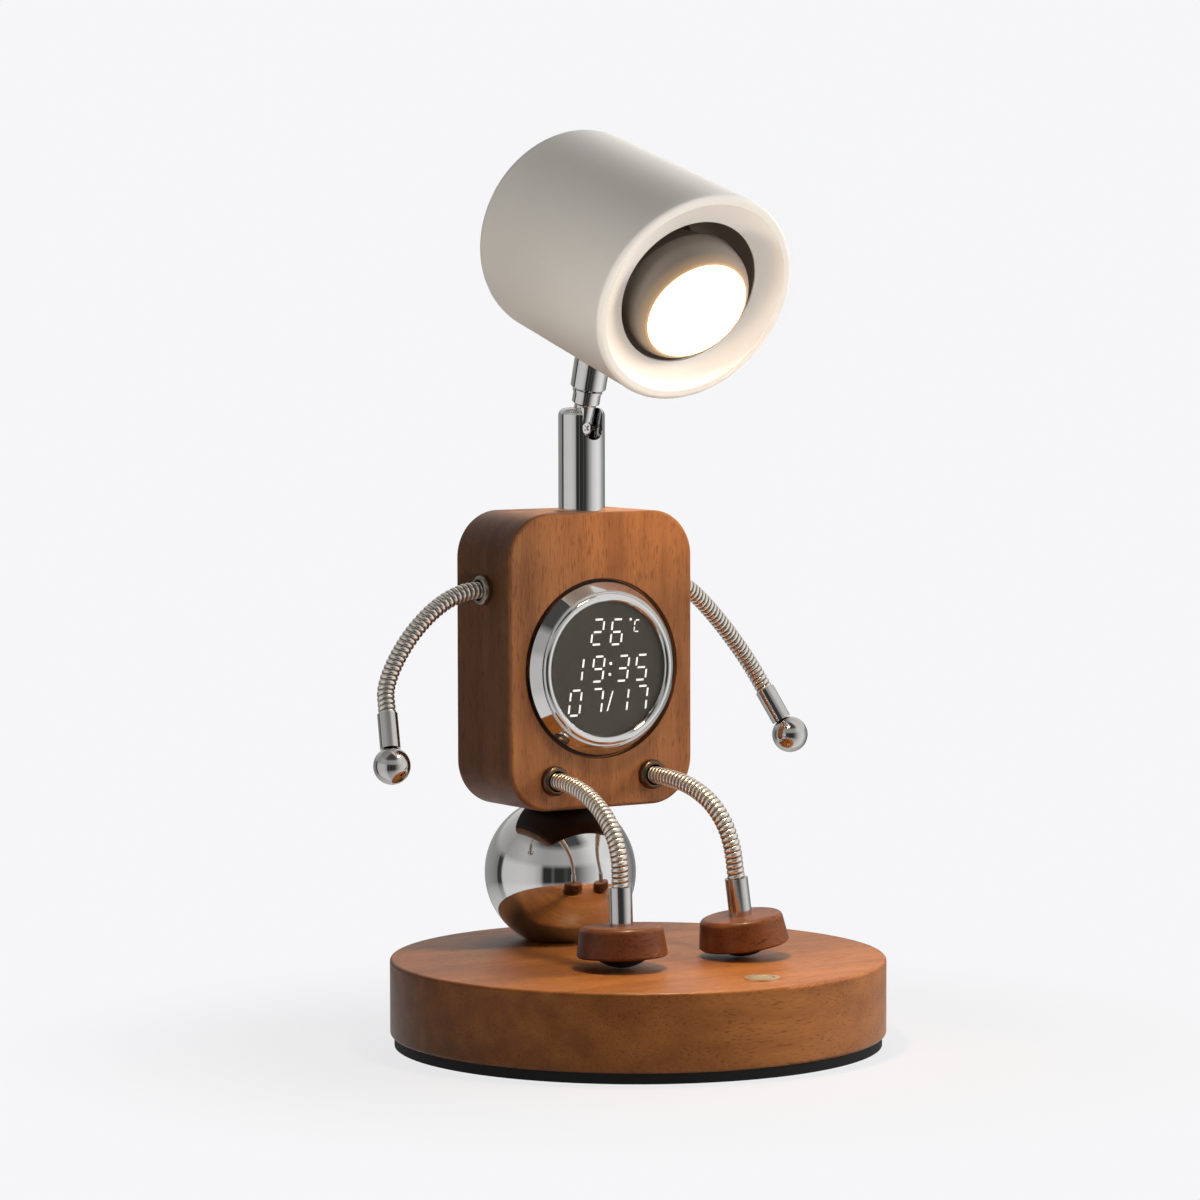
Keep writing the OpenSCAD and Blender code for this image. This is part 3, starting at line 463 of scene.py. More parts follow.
@dataclass(frozen=True)
class ShadePaintedWood(Wood):
    """Wood with painted shade: a dark ring painted round the recess in its front, and a dark painted
    underside.
    """

    middle: Colour = ORIGIN
    inner: float = 33.0
    outer: float = 34.5
    halfway: float = 44.4
    under: float = 88.5
    # Colour of the painted shade in the recess ring and on the underside.
    painted_shade_colour: Colour = (0.024, 0.011, 0.006)

    def wire(self, tree: Tree, shader: Node) -> None:
        """Sets the shader's sockets and their nodes.

        Args:
            tree: The material's node tree.
            shader: Its Principled shader.
        """
        super().wire(tree, shader)
        where = self.place(tree)
        away = away_from(tree, stretched(tree, where, (1.0, 0.0, 1.0)), self.middle)
        depth, height = add_node(tree, "ShaderNodeSeparateXYZ", {0: where}).outputs[1:]
        # Painted shade: the ring round the clock's recess on the front half, and all that lies below the
        # underside's height.
        painted_shade_mask = maths(tree, "MULTIPLY", maths(tree, "GREATER_THAN", away, self.inner),
                       maths(tree, "LESS_THAN", away, self.outer))
        painted_shade_mask = maths(tree, "MULTIPLY", painted_shade_mask, maths(tree, "LESS_THAN", depth, self.halfway))
        painted_shade_mask = maths(tree, "MAXIMUM", painted_shade_mask, maths(tree, "LESS_THAN", height, self.under))
        old = shader.inputs["Base Color"].links[0].from_socket
        feed(tree, shader, {"Base Color": mix_colour(tree, painted_shade_mask, old, rgba(self.painted_shade_colour))})


@dataclass(frozen=True)
class Metal(Finish):
    """Polished or brushed metal."""

    colour: Colour
    rough: float
    smear: float = 0.05
    hairline: float = 0.03
    tone: float = 0.06
    relief: float = 0.02
    relief_depth: float = 0.00002

    def wire(self, tree: Tree, shader: Node) -> None:
        """Sets the shader's sockets and their nodes.

        Args:
            tree: The material's node tree.
            shader: Its Principled shader.
        """
        inputs = {
            "Vector": self.place(tree), "Rough": self.rough, "Smear": self.smear, "Hairline": self.hairline,
        }
        group = add_node(tree, "ShaderNodeGroup", inputs, node_tree=Effects.scuffs())
        feed(tree, shader, {
            "Base Color": self.mottled(tree, self.colour, self.tone, group.outputs["Tone"]),
            "Roughness": group.outputs["Roughness"],
            "Metallic": 1.0,
            "Normal": self.bump(tree, group.outputs["Height"], self.relief, self.relief_depth),
        })


@dataclass(frozen=True)
class WoundMetal(Metal):
    """Wound wire, rougher in the grooves that its mesh marks, with painted shade there."""

    # Colour of the painted shade in the grooves.
    deep: Colour = ORIGIN
    groove_start: float = 0.08
    groove_full: float = 0.75
    dull: float = 0.3

    def wire(self, tree: Tree, shader: Node) -> None:
        """Sets the shader's sockets and their nodes.

        Args:
            tree: The material's node tree.
            shader: Its Principled shader.
        """
        super().wire(tree, shader)
        # Darkens the grooves towards deep: painted shade where the ribs shade each other.
        mark = add_node(tree, "ShaderNodeAttribute", attribute_name="groove").outputs["Fac"]
        share = climb(tree, mark, self.groove_start, self.groove_full)
        colour, rough = (shader.inputs[key].links[0].from_socket for key in ("Base Color", "Roughness"))
        feed(tree, shader, {
            "Base Color": mix_colour(tree, share, colour, rgba(self.deep)),
            "Roughness": maths(tree, "MULTIPLY_ADD", share, self.dull, rough),
        })


@dataclass(frozen=True)
class Coated(Finish):
    """Paint, plastic, rubber or ceramic with a fine surface."""

    colour: Colour
    rough: float
    rough_spread: float = 0.12
    size: float = 3.0
    peel: float = 0.08
    peel_depth: float = 0.0002
    tone: float = 0.05
    specular: float = 0.5

    def wire(self, tree: Tree, shader: Node) -> None:
        """Sets the shader's sockets and their nodes.

        Args:
            tree: The material's node tree.
            shader: Its Principled shader.
        """
        inputs = {"Vector": self.place(tree), "Size": self.size}
        group = add_node(tree, "ShaderNodeGroup", inputs, node_tree=Effects.speckle())
        tone = group.outputs["Tone"]
        least = self.rough - self.rough_spread / 2
        feed(tree, shader, {
            "Base Color": self.mottled(tree, self.colour, self.tone, tone),
            "Roughness": maths(tree, "MULTIPLY_ADD", tone, self.rough_spread, least),
            "Specular IOR Level": self.specular,
            "Normal": self.bump(tree, group.outputs["Height"], self.peel, self.peel_depth),
        })


@dataclass(frozen=True)
class ClearGlass(Finish):
    """Thin clear glass over the display."""

    tint: Colour = (0.9, 0.9, 0.9)
    smear: float = 0.03
    hairline: float = 0.01
    bending: float = 1.25

    def wire(self, tree: Tree, shader: Node) -> None:
        """Sets the shader's sockets and their nodes.

        Args:
            tree: The material's node tree.
            shader: Its Principled shader.
        """
        inputs = {"Vector": self.place(tree), "Rough": 0.0, "Smear": self.smear, "Hairline": self.hairline}
        group = add_node(tree, "ShaderNodeGroup", inputs, node_tree=Effects.scuffs())
        feed(tree, shader, {
            "Base Color": rgba(self.tint),
            "Roughness": group.outputs["Roughness"],
            "Transmission Weight": 1.0,
            "IOR": self.bending,
        })


@dataclass(frozen=True)
class GlowPaintedPanel(Coated):
    """A dark panel with a faint painted glow that keeps it from going black."""

    painted_glow: Colour = (0.022, 0.018, 0.012)

    def wire(self, tree: Tree, shader: Node) -> None:
        """Sets the shader's sockets, with a faint painted glow as emission."""
        super().wire(tree, shader)
        feed(tree, shader, {"Emission Color": rgba(self.painted_glow), "Emission Strength": 1.0})


@dataclass(frozen=True)
class GlowPaintedHousing(Coated):
    """Moulded plastic with a painted warm glow near a lit lens, standing in for the light that spills from
    it.
    """

    centre: Colour = ORIGIN
    near: float = 20.0
    far: float = 50.0
    painted_spill: Colour = (0.9, 0.5, 0.17)
    dim: float = 0.25
    dim_at: float = 0.06
    dusk: Colour = (0.012, 0.008, 0.005)
    dusk_at: float = 0.14

    def wire(self, tree: Tree, shader: Node) -> None:
        """Sets the shader's sockets and their nodes.

        Args:
            tree: The material's node tree.
            shader: Its Principled shader.
        """
        super().wire(tree, shader)
        # Painted light: an emission that fades with distance from the lens.
        share = climb(tree, away_from(tree, self.place(tree), self.centre), self.near, self.far)
        dimmed = tuple(c * self.dim for c in self.painted_spill)
        stops = [(0.0, self.painted_spill), (self.dim_at, dimmed), (self.dusk_at, self.dusk), (1.0, ORIGIN)]
        feed(tree, shader, {"Emission Color": ramp(tree, share, stops), "Emission Strength": 1.0})


@dataclass(frozen=True)
class Glow(Finish):
    """A lit diffuser, bright in the middle and warmer at its edge."""

    centre: Colour
    reach: float
    bright: Colour
    edge: Colour
    strength: float
    hot: float = 0.72
    colour: Colour = (0.9, 0.87, 0.8)
    rough: float = 0.4

    def wire(self, tree: Tree, shader: Node) -> None:
        """Sets the shader's sockets and their nodes.

        Args:
            tree: The material's node tree.
            shader: Its Principled shader.
        """
        share = maths(tree, "DIVIDE", away_from(tree, self.place(tree), self.centre), self.reach)
        stops = [(0.0, self.bright), (self.hot, self.bright), (1.0, self.edge)]
        feed(tree, shader, {
            "Base Color": rgba(self.colour),
            "Roughness": self.rough,
            "Emission Color": ramp(tree, share, stops),
            "Emission Strength": self.strength,
        })


WALNUT_LIGHT = (0.365, 0.138, 0.037)
WALNUT_DARK = (0.215, 0.074, 0.020)
WALNUT_PORE = (0.075, 0.024, 0.009)
# The body's wood, with painted shade round the clock recess and on its underside.
BODY_WOOD = ShadePaintedWood("body_wood", (0.305, 0.127, 0.049), (0.165, 0.064, 0.025), WALNUT_PORE,
                         Grain.UPRIGHT, pores=0.5, shift=(13.0, 4.0, 0.0), middle=(0.0, 0.0, 142.2))
BASE_WOOD = Wood("base_wood", WALNUT_LIGHT, WALNUT_DARK, WALNUT_PORE, Grain.ACROSS, pores=0.45)
FOOT_WOOD = Wood("foot_wood", (0.215, 0.068, 0.018), (0.105, 0.031, 0.009), (0.03, 0.009, 0.004),
                 Grain.ACROSS, pores=0.7, coat=0.2)
CHROME = Metal("bright_chrome", (0.80, 0.79, 0.775), 0.02, smear=0.03, hairline=0.02)
NICKEL = Metal("satin_nickel", (0.66, 0.64, 0.61), 0.06, smear=0.06, hairline=0.05)
COLLAR_METAL = Metal("collar_nickel", (0.33, 0.28, 0.23), 0.2, smear=0.1, hairline=0.08)
# A darker bronze than the arm collars, its brown partly painted shade and a painted reflection of the wood.
LEG_COLLAR_SHADED_BRONZE = Metal("leg_collar_bronze_and_shade", (0.15, 0.105, 0.075), 0.26, smear=0.1, hairline=0.08)
# Its deep colour is painted shade in the grooves.
STEM_METAL = WoundMetal("stem_metal", (0.96, 0.89, 0.80), 0.2, smear=0.08, hairline=0.04,
                        deep=(0.21, 0.168, 0.13))
STEEL = Metal("plain_steel", (0.56, 0.56, 0.55), 0.28, smear=0.1, hairline=0.12)
BRASS = Metal("turned_brass", (0.62, 0.47, 0.22), 0.24, smear=0.1, hairline=0.1)
GILT = Metal("switch_gilt", (0.92, 0.80, 0.56), 0.28, smear=0.06, hairline=0.06)
WHITE_PAINT = Coated("white_paint", (0.86, 0.815, 0.755), 0.6, size=2.2, peel=0.06, tone=0.015, specular=0.3)
# The sleeve's faint glow is painted light.
SLEEVE_PLASTIC = GlowPaintedPanel("sleeve_plastic", (0.055, 0.043, 0.034), 0.6, size=4.0, peel=0.08,
                         painted_glow=(0.030, 0.022, 0.016))
BLACK_PAD = Coated("black_pad", (0.010, 0.010, 0.010), 0.9, size=1.6, peel=0.5, tone=0.2)
BLACK_PLASTIC = Coated("black_plastic", (0.03, 0.03, 0.03), 0.45, size=3.0, peel=0.1)
BOARD_GREEN = Coated("board_green", (0.04, 0.15, 0.06), 0.4, size=1.0, peel=0.1)
HOLDER_WHITE = Coated("holder_white", (0.8, 0.79, 0.75), 0.35, size=2.0, peel=0.05)
# The display's faint glow is painted light.
DISPLAY_DARK = GlowPaintedPanel("display_dark", (0.034, 0.027, 0.017), 0.5, size=5.0, peel=0.0, specular=0.2)
CLOCK_GLASS = ClearGlass("clear_glass")
DIGIT_LIGHT = Glow("digit_light", (0.0, 22.4, 142.2), 60.0, (1.0, 0.98, 0.96), (0.95, 0.94, 0.93), 0.76)


@dataclass
class Lamp:
    """Places in the CAD model that the new pieces share."""

    base_top: float = 33.5
    body_low: float = 88.1
    arm_y: float = 42.6
    arm_up: float = 85.0
    leg_x: float = 22.4
    leg_up: float = 11.8
    body_front: float = 24.8
    body_half: float = 42.0
    clock_z: float = 142.2
    display_out: float = 2.6
    hinge: Colour = (0.0, 39.0, 234.6)
    head_lean: float = 16.7
    axis_h: float = 70.57
    mouth_reach: float = 60.8
    bulb_in: float = 11.2
    bulb_out: float = 13.8
    bulb_droop: float = 17.8

    def shine(self) -> Vector:
        """Gives the direction in which the bulb shines."""
        tilt = math.radians(self.head_lean + self.bulb_droop)
        return Vector((0.0, -math.cos(tilt), -math.sin(tilt)))

    def bulb_face(self, ahead: float = 0.0) -> Vector:
        """Gives a point on the bulb's axis.

        Args:
            ahead: How far it lies before the middle of the lens.

        Returns:
            The point.
        """
        lean = math.radians(self.head_lean)
        up = Vector((0.0, -math.sin(lean), math.cos(lean)))
        out = Vector((0.0, -math.cos(lean), -math.sin(lean)))
        middle = Vector(self.hinge) + up * self.axis_h + out * (self.mouth_reach - self.bulb_in)
        return middle + self.shine() * (self.bulb_out + ahead)


def add_piece(bm: BMesh, name: str, material: bpy.types.Material) -> Piece:
    """Makes an object of a bmesh in metres.

    Args:
        bm: The mesh, which is freed.
        name: The object's name.
        material: Its material.

    Returns:
        The new object, at the origin.
    """
    mesh = bpy.data.meshes.new(name)
    bm.to_mesh(mesh)
    bm.free()
    mesh.materials.append(material)
    piece = bpy.data.objects.new(name, mesh)
    bpy.context.scene.collection.objects.link(piece)
    return piece


def finish_mesh(bm: BMesh, name: str, finish: Finish, smooth: bool = True) -> Piece:
    """Turns a bmesh in millimetres into an object in metres.

    Args:
        bm: The mesh, which is freed.
        name: The piece's name.
        finish: Its finish.
        smooth: Whether its faces are shaded smooth.

    Returns:
        The new object, at the origin.
    """
    bmesh.ops.scale(bm, vec=(MM, MM, MM), verts=bm.verts)
    for face in bm.faces:
        face.smooth = smooth
    piece = add_piece(bm, name, finish.build())
    LOG.info("%s: %d faces", name, len(piece.data.polygons))
    return piece


def lean_dir(out: float, forward: float) -> Vector:
    """Gives the direction that points down and leans out and forward by angles in degrees."""
    s, f = math.radians(out), math.radians(forward)
    return Vector((math.sin(s) * math.cos(f), -math.sin(f), -math.cos(s) * math.cos(f)))


@dataclass
class BendyStem:
    """A wound metal stem between a collar on the body and a ferrule."""

    name: str
    node: str
    child: Body
    start: Vector
    out: Vector
    end: Vector
    into: Vector
    reach: Pair
    side: Vector
    radius: float = 3.4
    groove: float = 0.62
    collar: float = 6.0
    ribs: int = 36
    sides: int = 28
    steps: int = 160
    bead: tuple[float, ...] = (0.0, 0.07, 0.2, 0.36, 0.5, 0.64, 0.8, 0.93)
    near: float = 1e-4

    def path(self) -> tuple[list[float], list[Vector]]:
        """Lays out the stem's route: a curve between two straight runs.

        Returns:
            The running lengths and the points of the route.
        """
        run = 2.0 * self.radius
        a = self.start + self.out * run
        b = a + self.out * self.reach[0]
        d = self.end - self.into * run
        c = d - self.into * self.reach[1]
        points = [self.start.copy()]
        for i in range(self.steps + 1):
            t = i / self.steps
            points.append(a * (1 - t) ** 3 + b * 3 * t * (1 - t) ** 2 + c * 3 * t * t * (1 - t) + d * t ** 3)
        points.append(self.end.copy())
        lengths = [0.0]
        for p, q in zip(points, points[1:]):
            lengths.append(lengths[-1] + (q - p).length)
        return lengths, points

    def build(self) -> Piece:
        """Winds a straight ribbed tube, then lays it along the route.

        Returns:
            The stem's object.
        """
        lengths, points = self.path()
        total = lengths[-1]
        pitch = total / self.ribs
        bm = bmesh.new()
        chain = []
        for rib in range(-2, self.ribs + 2):
            for f in self.bead:
                drop = self.groove * (1.0 - math.sqrt(max(0.0, 1.0 - (2.0 * f - 1.0) ** 2)))
                chain.append(bm.verts.new((self.radius - drop, 0.0, (rib + f) * pitch)))
        edges = [bm.edges.new(pair) for pair in zip(chain, chain[1:])]
        bmesh.ops.spin(bm, geom=chain + edges, cent=(0, 0, 0), axis=(0, 0, 1), angle=2 * math.pi,
                       dvec=(0, 0, pitch / self.sides), steps=self.sides, use_merge=False)
        bmesh.ops.remove_doubles(bm, verts=bm.verts, dist=pitch * 0.01)
        for z, sign in ((0.0, -1.0), (total, 1.0)):
            bmesh.ops.bisect_plane(bm, geom=bm.verts[:] + bm.edges[:] + bm.faces[:], dist=1e-6,
                                   plane_co=(0, 0, z), plane_no=(0, 0, sign), clear_outer=True)
            rim = [e for e in bm.edges
                   if e.is_boundary and all(abs(v.co.z - z) < self.near for v in e.verts)]
            bmesh.ops.holes_fill(bm, edges=rim, sides=0)
        bmesh.ops.recalc_face_normals(bm, faces=bm.faces)
        self.lay(bm, lengths, points)
        return finish_mesh(bm, self.name, STEM_METAL)

    def lay(self, bm: BMesh, lengths: list[float], points: list[Vector]) -> None:
        """Moves a straight tube's points onto the route, and marks how deep they lie in a groove.

        Args:
            bm: The tube along Z.
            lengths: Running length at each point of the route.
            points: The route.
        """
        last = len(points) - 2
        mark = bm.verts.layers.float.new("groove")
        for vert in bm.verts:
            vert[mark] = min(max((self.radius - vert.co.xy.length) / self.groove, 0.0), 1.0)
            s = min(max(vert.co.z, 0.0), lengths[-1])
            low = min(bisect_right(lengths, s) - 1, last)
            k = (s - lengths[low]) / (lengths[low + 1] - lengths[low])
            here = points[low].lerp(points[low + 1], k)
            first = (points[low + 1] - points[max(low - 1, 0)]).normalized()
            second = (points[min(low + 2, last + 1)] - points[low]).normalized()
            along = first.lerp(second, k).normalized()
            u = along.cross(self.side).normalized()
            v = along.cross(u)
            vert.co = here + u * vert.co.x + v * vert.co.y

    def dress(self) -> Piece:
        """Builds the stem, bakes its placement into its mesh, and hides its CAD solid.

        Returns:
            The stem's object.
        """
        piece = self.build()
        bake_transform(piece)
        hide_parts(self.node)
        return piece


class Glyph(Enum):
    """Bars that are lit for each figure.

    The letters are top, upper right, lower right, bottom, lower left, upper left and middle.
    """

    ZERO = "abcdef"
    ONE = "bc"
    TWO = "abged"
    THREE = "abgcd"
    FIVE = "afgcd"
    SIX = "afgecd"
    SEVEN = "abc"
    NINE = "abcdfg"
    C = "afed"


@dataclass
class ClockFace:
    """Lit figures of the clock, on the display behind the glass."""

    lamp: Lamp
    width: float = 4.9
    height: float = 9.6
    stroke: float = 0.74
    gap: float = 0.42
    slant: float = 8.0
    rise: float = 0.06
    float_gap: float = 0.01
    rows: tuple[tuple[Glyph, float, float], ...] = (
        (Glyph.TWO, -3.9, 14.4), (Glyph.SIX, 4.9, 14.1),
        (Glyph.ONE, -13.3, 0.2), (Glyph.NINE, -3.7, 0.1), (Glyph.THREE, 7.6, -0.1), (Glyph.FIVE, 16.2, -0.1),
        (Glyph.ZERO, -14.3, -12.5), (Glyph.SEVEN, -4.4, -12.4), (Glyph.ONE, 7.4, -12.4),
        (Glyph.SEVEN, 16.2, -12.2),
    )
    unit: tuple[Glyph, float, float] = (Glyph.C, 14.2, 16.1)
    unit_share: float = 0.46
    stroke_power: float = 0.6
    dots: tuple[Pair, ...] = ((2.05, 2.0), (1.6, -2.2))
    dot_r: float = 0.62
    degree: Pair = (11.3, 18.7)
    degree_r: float = 0.55
    slash: Pair = (1.7, -12.5)
    slash_share: float = 0.86
    slash_stroke: float = 0.6
    slash_slope: float = 0.34

    @staticmethod
    def bar(bm: BMesh, middle: Vector, length: float, upright: bool, stroke: float) -> Corners:
        """Adds one bar of a figure.

        Args:
            bm: Takes the bar, flat in XY.
            middle: The bar's middle.
            length: Its length with half a stroke of room at each end.
            upright: Whether it stands upright.
            stroke: Its width.

        Returns:
            The bar's corners.
        """
        made = bmesh.ops.create_grid(bm, x_segments=1, y_segments=1, size=0.5)["verts"]
        size = (stroke, length - stroke) if upright else (length - stroke, stroke)
        bmesh.ops.scale(bm, vec=(*size, 1.0), verts=made)
        bmesh.ops.translate(bm, vec=middle, verts=made)
        return made

    @staticmethod
    def settle(bm: BMesh, made: Corners, slope: float, place: Pair) -> None:
        """Slants a figure's corners and moves them to their place.

        Args:
            bm: The mesh that holds them.
            made: The corners.
            slope: How far they lean sideways for each step upwards.
            place: Where they go.
        """
        for vert in made:
            vert.co.x += vert.co.y * slope
        bmesh.ops.translate(bm, vec=(*place, 0.0), verts=made)

    def figure(self, bm: BMesh, glyph: Glyph, place: Pair, share: float = 1.0) -> None:
        """Adds one slanted figure.

        Args:
            bm: Takes the figure.
            glyph: Which figure.
            place: Its middle, sideways and upwards.
            share: Its size beside the large figures.
        """
        w, h = self.width * share, self.height * share
        stroke = self.stroke * share ** self.stroke_power
        gap = self.gap * share * share
        flat = w - 2 * gap
        tall = h / 2 - 2 * gap
        places = {
            "a": (0, h / 2, flat, False), "g": (0, 0, flat, False), "d": (0, -h / 2, flat, False),
            "b": (w / 2, h / 4, tall, True), "c": (w / 2, -h / 4, tall, True),
            "f": (-w / 2, h / 4, tall, True), "e": (-w / 2, -h / 4, tall, True),
        }
        made = []
        for letter in glyph.value:
            x, y, length, upright = places[letter]
            made += self.bar(bm, Vector((x, y, 0.0)), length, upright, stroke)
        self.settle(bm, made, math.tan(math.radians(self.slant)), place)

    def build(self) -> Piece:
        """Makes all figures as one thin mesh and stands it on the display.

        Returns:
            The figures' object.
        """
        bm = bmesh.new()
        for glyph, *place in self.rows:
            self.figure(bm, glyph, place)
        glyph, *place = self.unit
        self.figure(bm, glyph, place, self.unit_share)
        for place, radius in (*((dot, self.dot_r) for dot in self.dots), (self.degree, self.degree_r)):
            made = bmesh.ops.create_circle(bm, cap_ends=True, segments=12, radius=radius)["verts"]
            bmesh.ops.translate(bm, vec=(*place, 0.0), verts=made)
        made = self.bar(bm, Vector(), self.height * self.slash_share, True, self.slash_stroke)
        self.settle(bm, made, self.slash_slope, self.slash)
        out = bmesh.ops.extrude_face_region(bm, geom=bm.faces[:])["geom"]
        top = [g for g in out if isinstance(g, bmesh.types.BMVert)]
        bmesh.ops.translate(bm, vec=(0.0, 0.0, self.rise), verts=top)
        bmesh.ops.recalc_face_normals(bm, faces=bm.faces)
        stand = Matrix.Rotation(math.pi / 2, 4, "X")
        bmesh.ops.transform(bm, matrix=stand, verts=bm.verts)
        front = self.lamp.body_front - self.lamp.display_out - self.float_gap
        bmesh.ops.translate(bm, vec=(0.0, front, self.lamp.clock_z), verts=bm.verts)
        return finish_mesh(bm, "clock_figures", DIGIT_LIGHT, smooth=False)

    def dress(self) -> Piece:
        """Builds the figures and lets them ride on the stand.

        Returns:
            The figures' object.
        """
        piece = self.build()
        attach(piece, Body.STAND.value)
        return piece


def both(*names: str) -> tuple[str, ...]:
    """Gives the names of the left and the right node of each kind."""
    return tuple(f"{name}_{side}" for name in names for side in ("left", "right"))


@dataclass
class Solids:
    """Finishes of the CAD nodes that stay."""

    lamp: Lamp

    def table(self) -> list[tuple[Finish, tuple[str, ...]]]:
        """Lists each finish with the nodes that wear it.

        Returns:
            Pairs of a finish and its nodes' names.
        """
        face = tuple(self.lamp.bulb_face())
        lens = Glow("bulb_glow", centre=face, reach=20.6, bright=(1.0, 0.88, 0.68), edge=(0.085, 0.05, 0.018),
                    strength=48.0, hot=0.86)
        # The housing's warm glow round the lens is painted light.
        housing = GlowPaintedHousing("lamp_plastic", (0.19, 0.158, 0.132), 0.42, size=4.0, peel=0.05, centre=face)
        return [
            (BASE_WOOD, ("base_disc",)),
            (BODY_WOOD, ("body",)),
            (FOOT_WOOD, both("foot")),
            (BLACK_PAD, ("base_pad", *both("foot_pad"))),
            (CHROME, ("ball", "neck_tube", "knuckle", "head_cup", "swivel_ring", "clock_bezel",
                      "knuckle_screw")),
            (GILT, ("switch_bezel", "switch_button")),
            (NICKEL, both("hand_ball", "arm_ferrule", "leg_ferrule")),
            (COLLAR_METAL, both("arm_collar")),
            (LEG_COLLAR_SHADED_BRONZE, both("leg_collar")),
            (STEEL, ("base_plate", "plate_screws", "switch_nut", "spine_rod", "rod_washer", "rod_nut",
                     "neck_nipple", "neck_nut", "tilt_pin", "head_washer", "head_nut", "lamp_bracket",
                     "bulb_pins")),
            (BRASS, ("body_insert",)),
            (BOARD_GREEN, ("control_board", "clock_board")),
            (BLACK_PLASTIC, ("cord_bushing", "switch_contact", "clock_case")),
            (WHITE_PAINT, ("shade", "front_ring")),
            (SLEEVE_PLASTIC, ("lamp_sleeve",)),
            (housing, ("bulb_body",)),
            (HOLDER_WHITE, ("lamp_holder",)),
            (DISPLAY_DARK, ("clock_display",)),
            (CLOCK_GLASS, ("clock_glass",)),
            (lens, ("bulb_lens",)),
        ]

    def dress(self, nodes: dict[str, Piece]) -> None:
        """Gives every CAD node its finish.

        Args:
            nodes: The frame's nodes by name.
        """
        worn = set()
        for finish, names in self.table():
            material = finish.build()
            for name in names:
                mesh = nodes[name].data
                mesh.materials.clear()
                mesh.materials.append(material)
                worn.add(name)
            LOG.info("%s on %s", finish.name, ", ".join(names))
        LOG.info("nodes left to new pieces: %s", sorted(set(nodes) - worn))


@dataclass
class Limbs:
    """The four bendable stems."""

    lamp: Lamp
    seat: float = 3.0
    hand_flat: float = 6.8
    arm_ferrule: float = 13.8
    leg_ferrule: float = 14.5
    pad_ball: float = 15.225
    pad_h: float = 4.2
    foot_h: float = 11.6
    lift: float = 0.3

    def arm(self, side: str, child: Body, sign: float, hand: Colour, lean: Pair, reach: Pair) -> BendyStem:
        """Lays out one arm.

        Args:
            side: Its side's name.
            child: The body of its hand; the stem keeps it but does not use it.
            sign: Its side's sign.
            hand: Middle of its hand ball.
            lean: Lean of its ferrule, out and forward.
            reach: Reach of its curve at both ends.

        Returns:
            The arm's stem.
        """
        into = lean_dir(*lean)
        at = self.lamp
        start = Vector((sign * (at.body_half - self.seat), at.arm_y, at.body_low + at.arm_up))
        end = Vector(hand) - into * (self.hand_flat + self.arm_ferrule)
        return BendyStem(f"arm_{side}_wound_stem", f"arm_stem_{side}", child, start, Vector((sign, 0.0, 0.0)),
                         end, into, reach, side=Vector((0.0, 1.0, 0.0)))

    def leg(self, side: str, child: Body, sign: float, place: Pair, lean: Pair, reach: Pair) -> BendyStem:
        """Lays out one leg.

        Args:
            side: Its side's name.
            child: The body of its foot; the stem keeps it but does not use it.
            sign: Its side's sign.
            place: Where its foot stands.
            lean: Lean of its ferrule, out and forward.
            reach: Reach of its curve at both ends.

        Returns:
            The leg's stem.
        """
        into = lean_dir(*lean)
        at = self.lamp
        start = Vector((sign * at.leg_x, at.body_front + self.seat, at.body_low + at.leg_up))
        middle = Vector((*place, at.base_top + self.lift + self.pad_ball))
        low = middle + into * (self.pad_ball - self.pad_h)
        end = low - into * (self.foot_h + self.leg_ferrule)
        return BendyStem(f"leg_{side}_wound_stem", f"leg_stem_{side}", child, start, Vector((0.0, -1.0, 0.0)),
                         end, into, reach, side=Vector((1.0, 0.0, 0.0)))

    def dress(self) -> None:
        """Builds the four stems."""
        low = self.lamp.body_low
        stems = (
            self.arm("left", Body.HAND_LEFT, -1.0, (-88.0, 35.5, low + 20.5), (-8.0, 22.0), (21.5, 11.0)),
            self.arm("right", Body.HAND_RIGHT, 1.0, (94.5, 32.5, low + 22.7), (22.0, 21.0), (8.0, 15.0)),
            self.leg("left", Body.FOOT_LEFT, -1.0, (-23.2, -23.6), (0.0, 2.5), (19.2, 19.0)),
            self.leg("right", Body.FOOT_RIGHT, 1.0, (31.0, -24.3), (7.2, 1.5), (28.2, 21.0)),
        )
        for stem in stems:
            stem.dress()


def facing(place: Vector, look: Vector, axis: str) -> Matrix:
    """Gives the placement that turns an axis of an object towards a direction."""
    return Matrix.Translation(place) @ look.to_track_quat(axis, "Y").to_matrix().to_4x4()


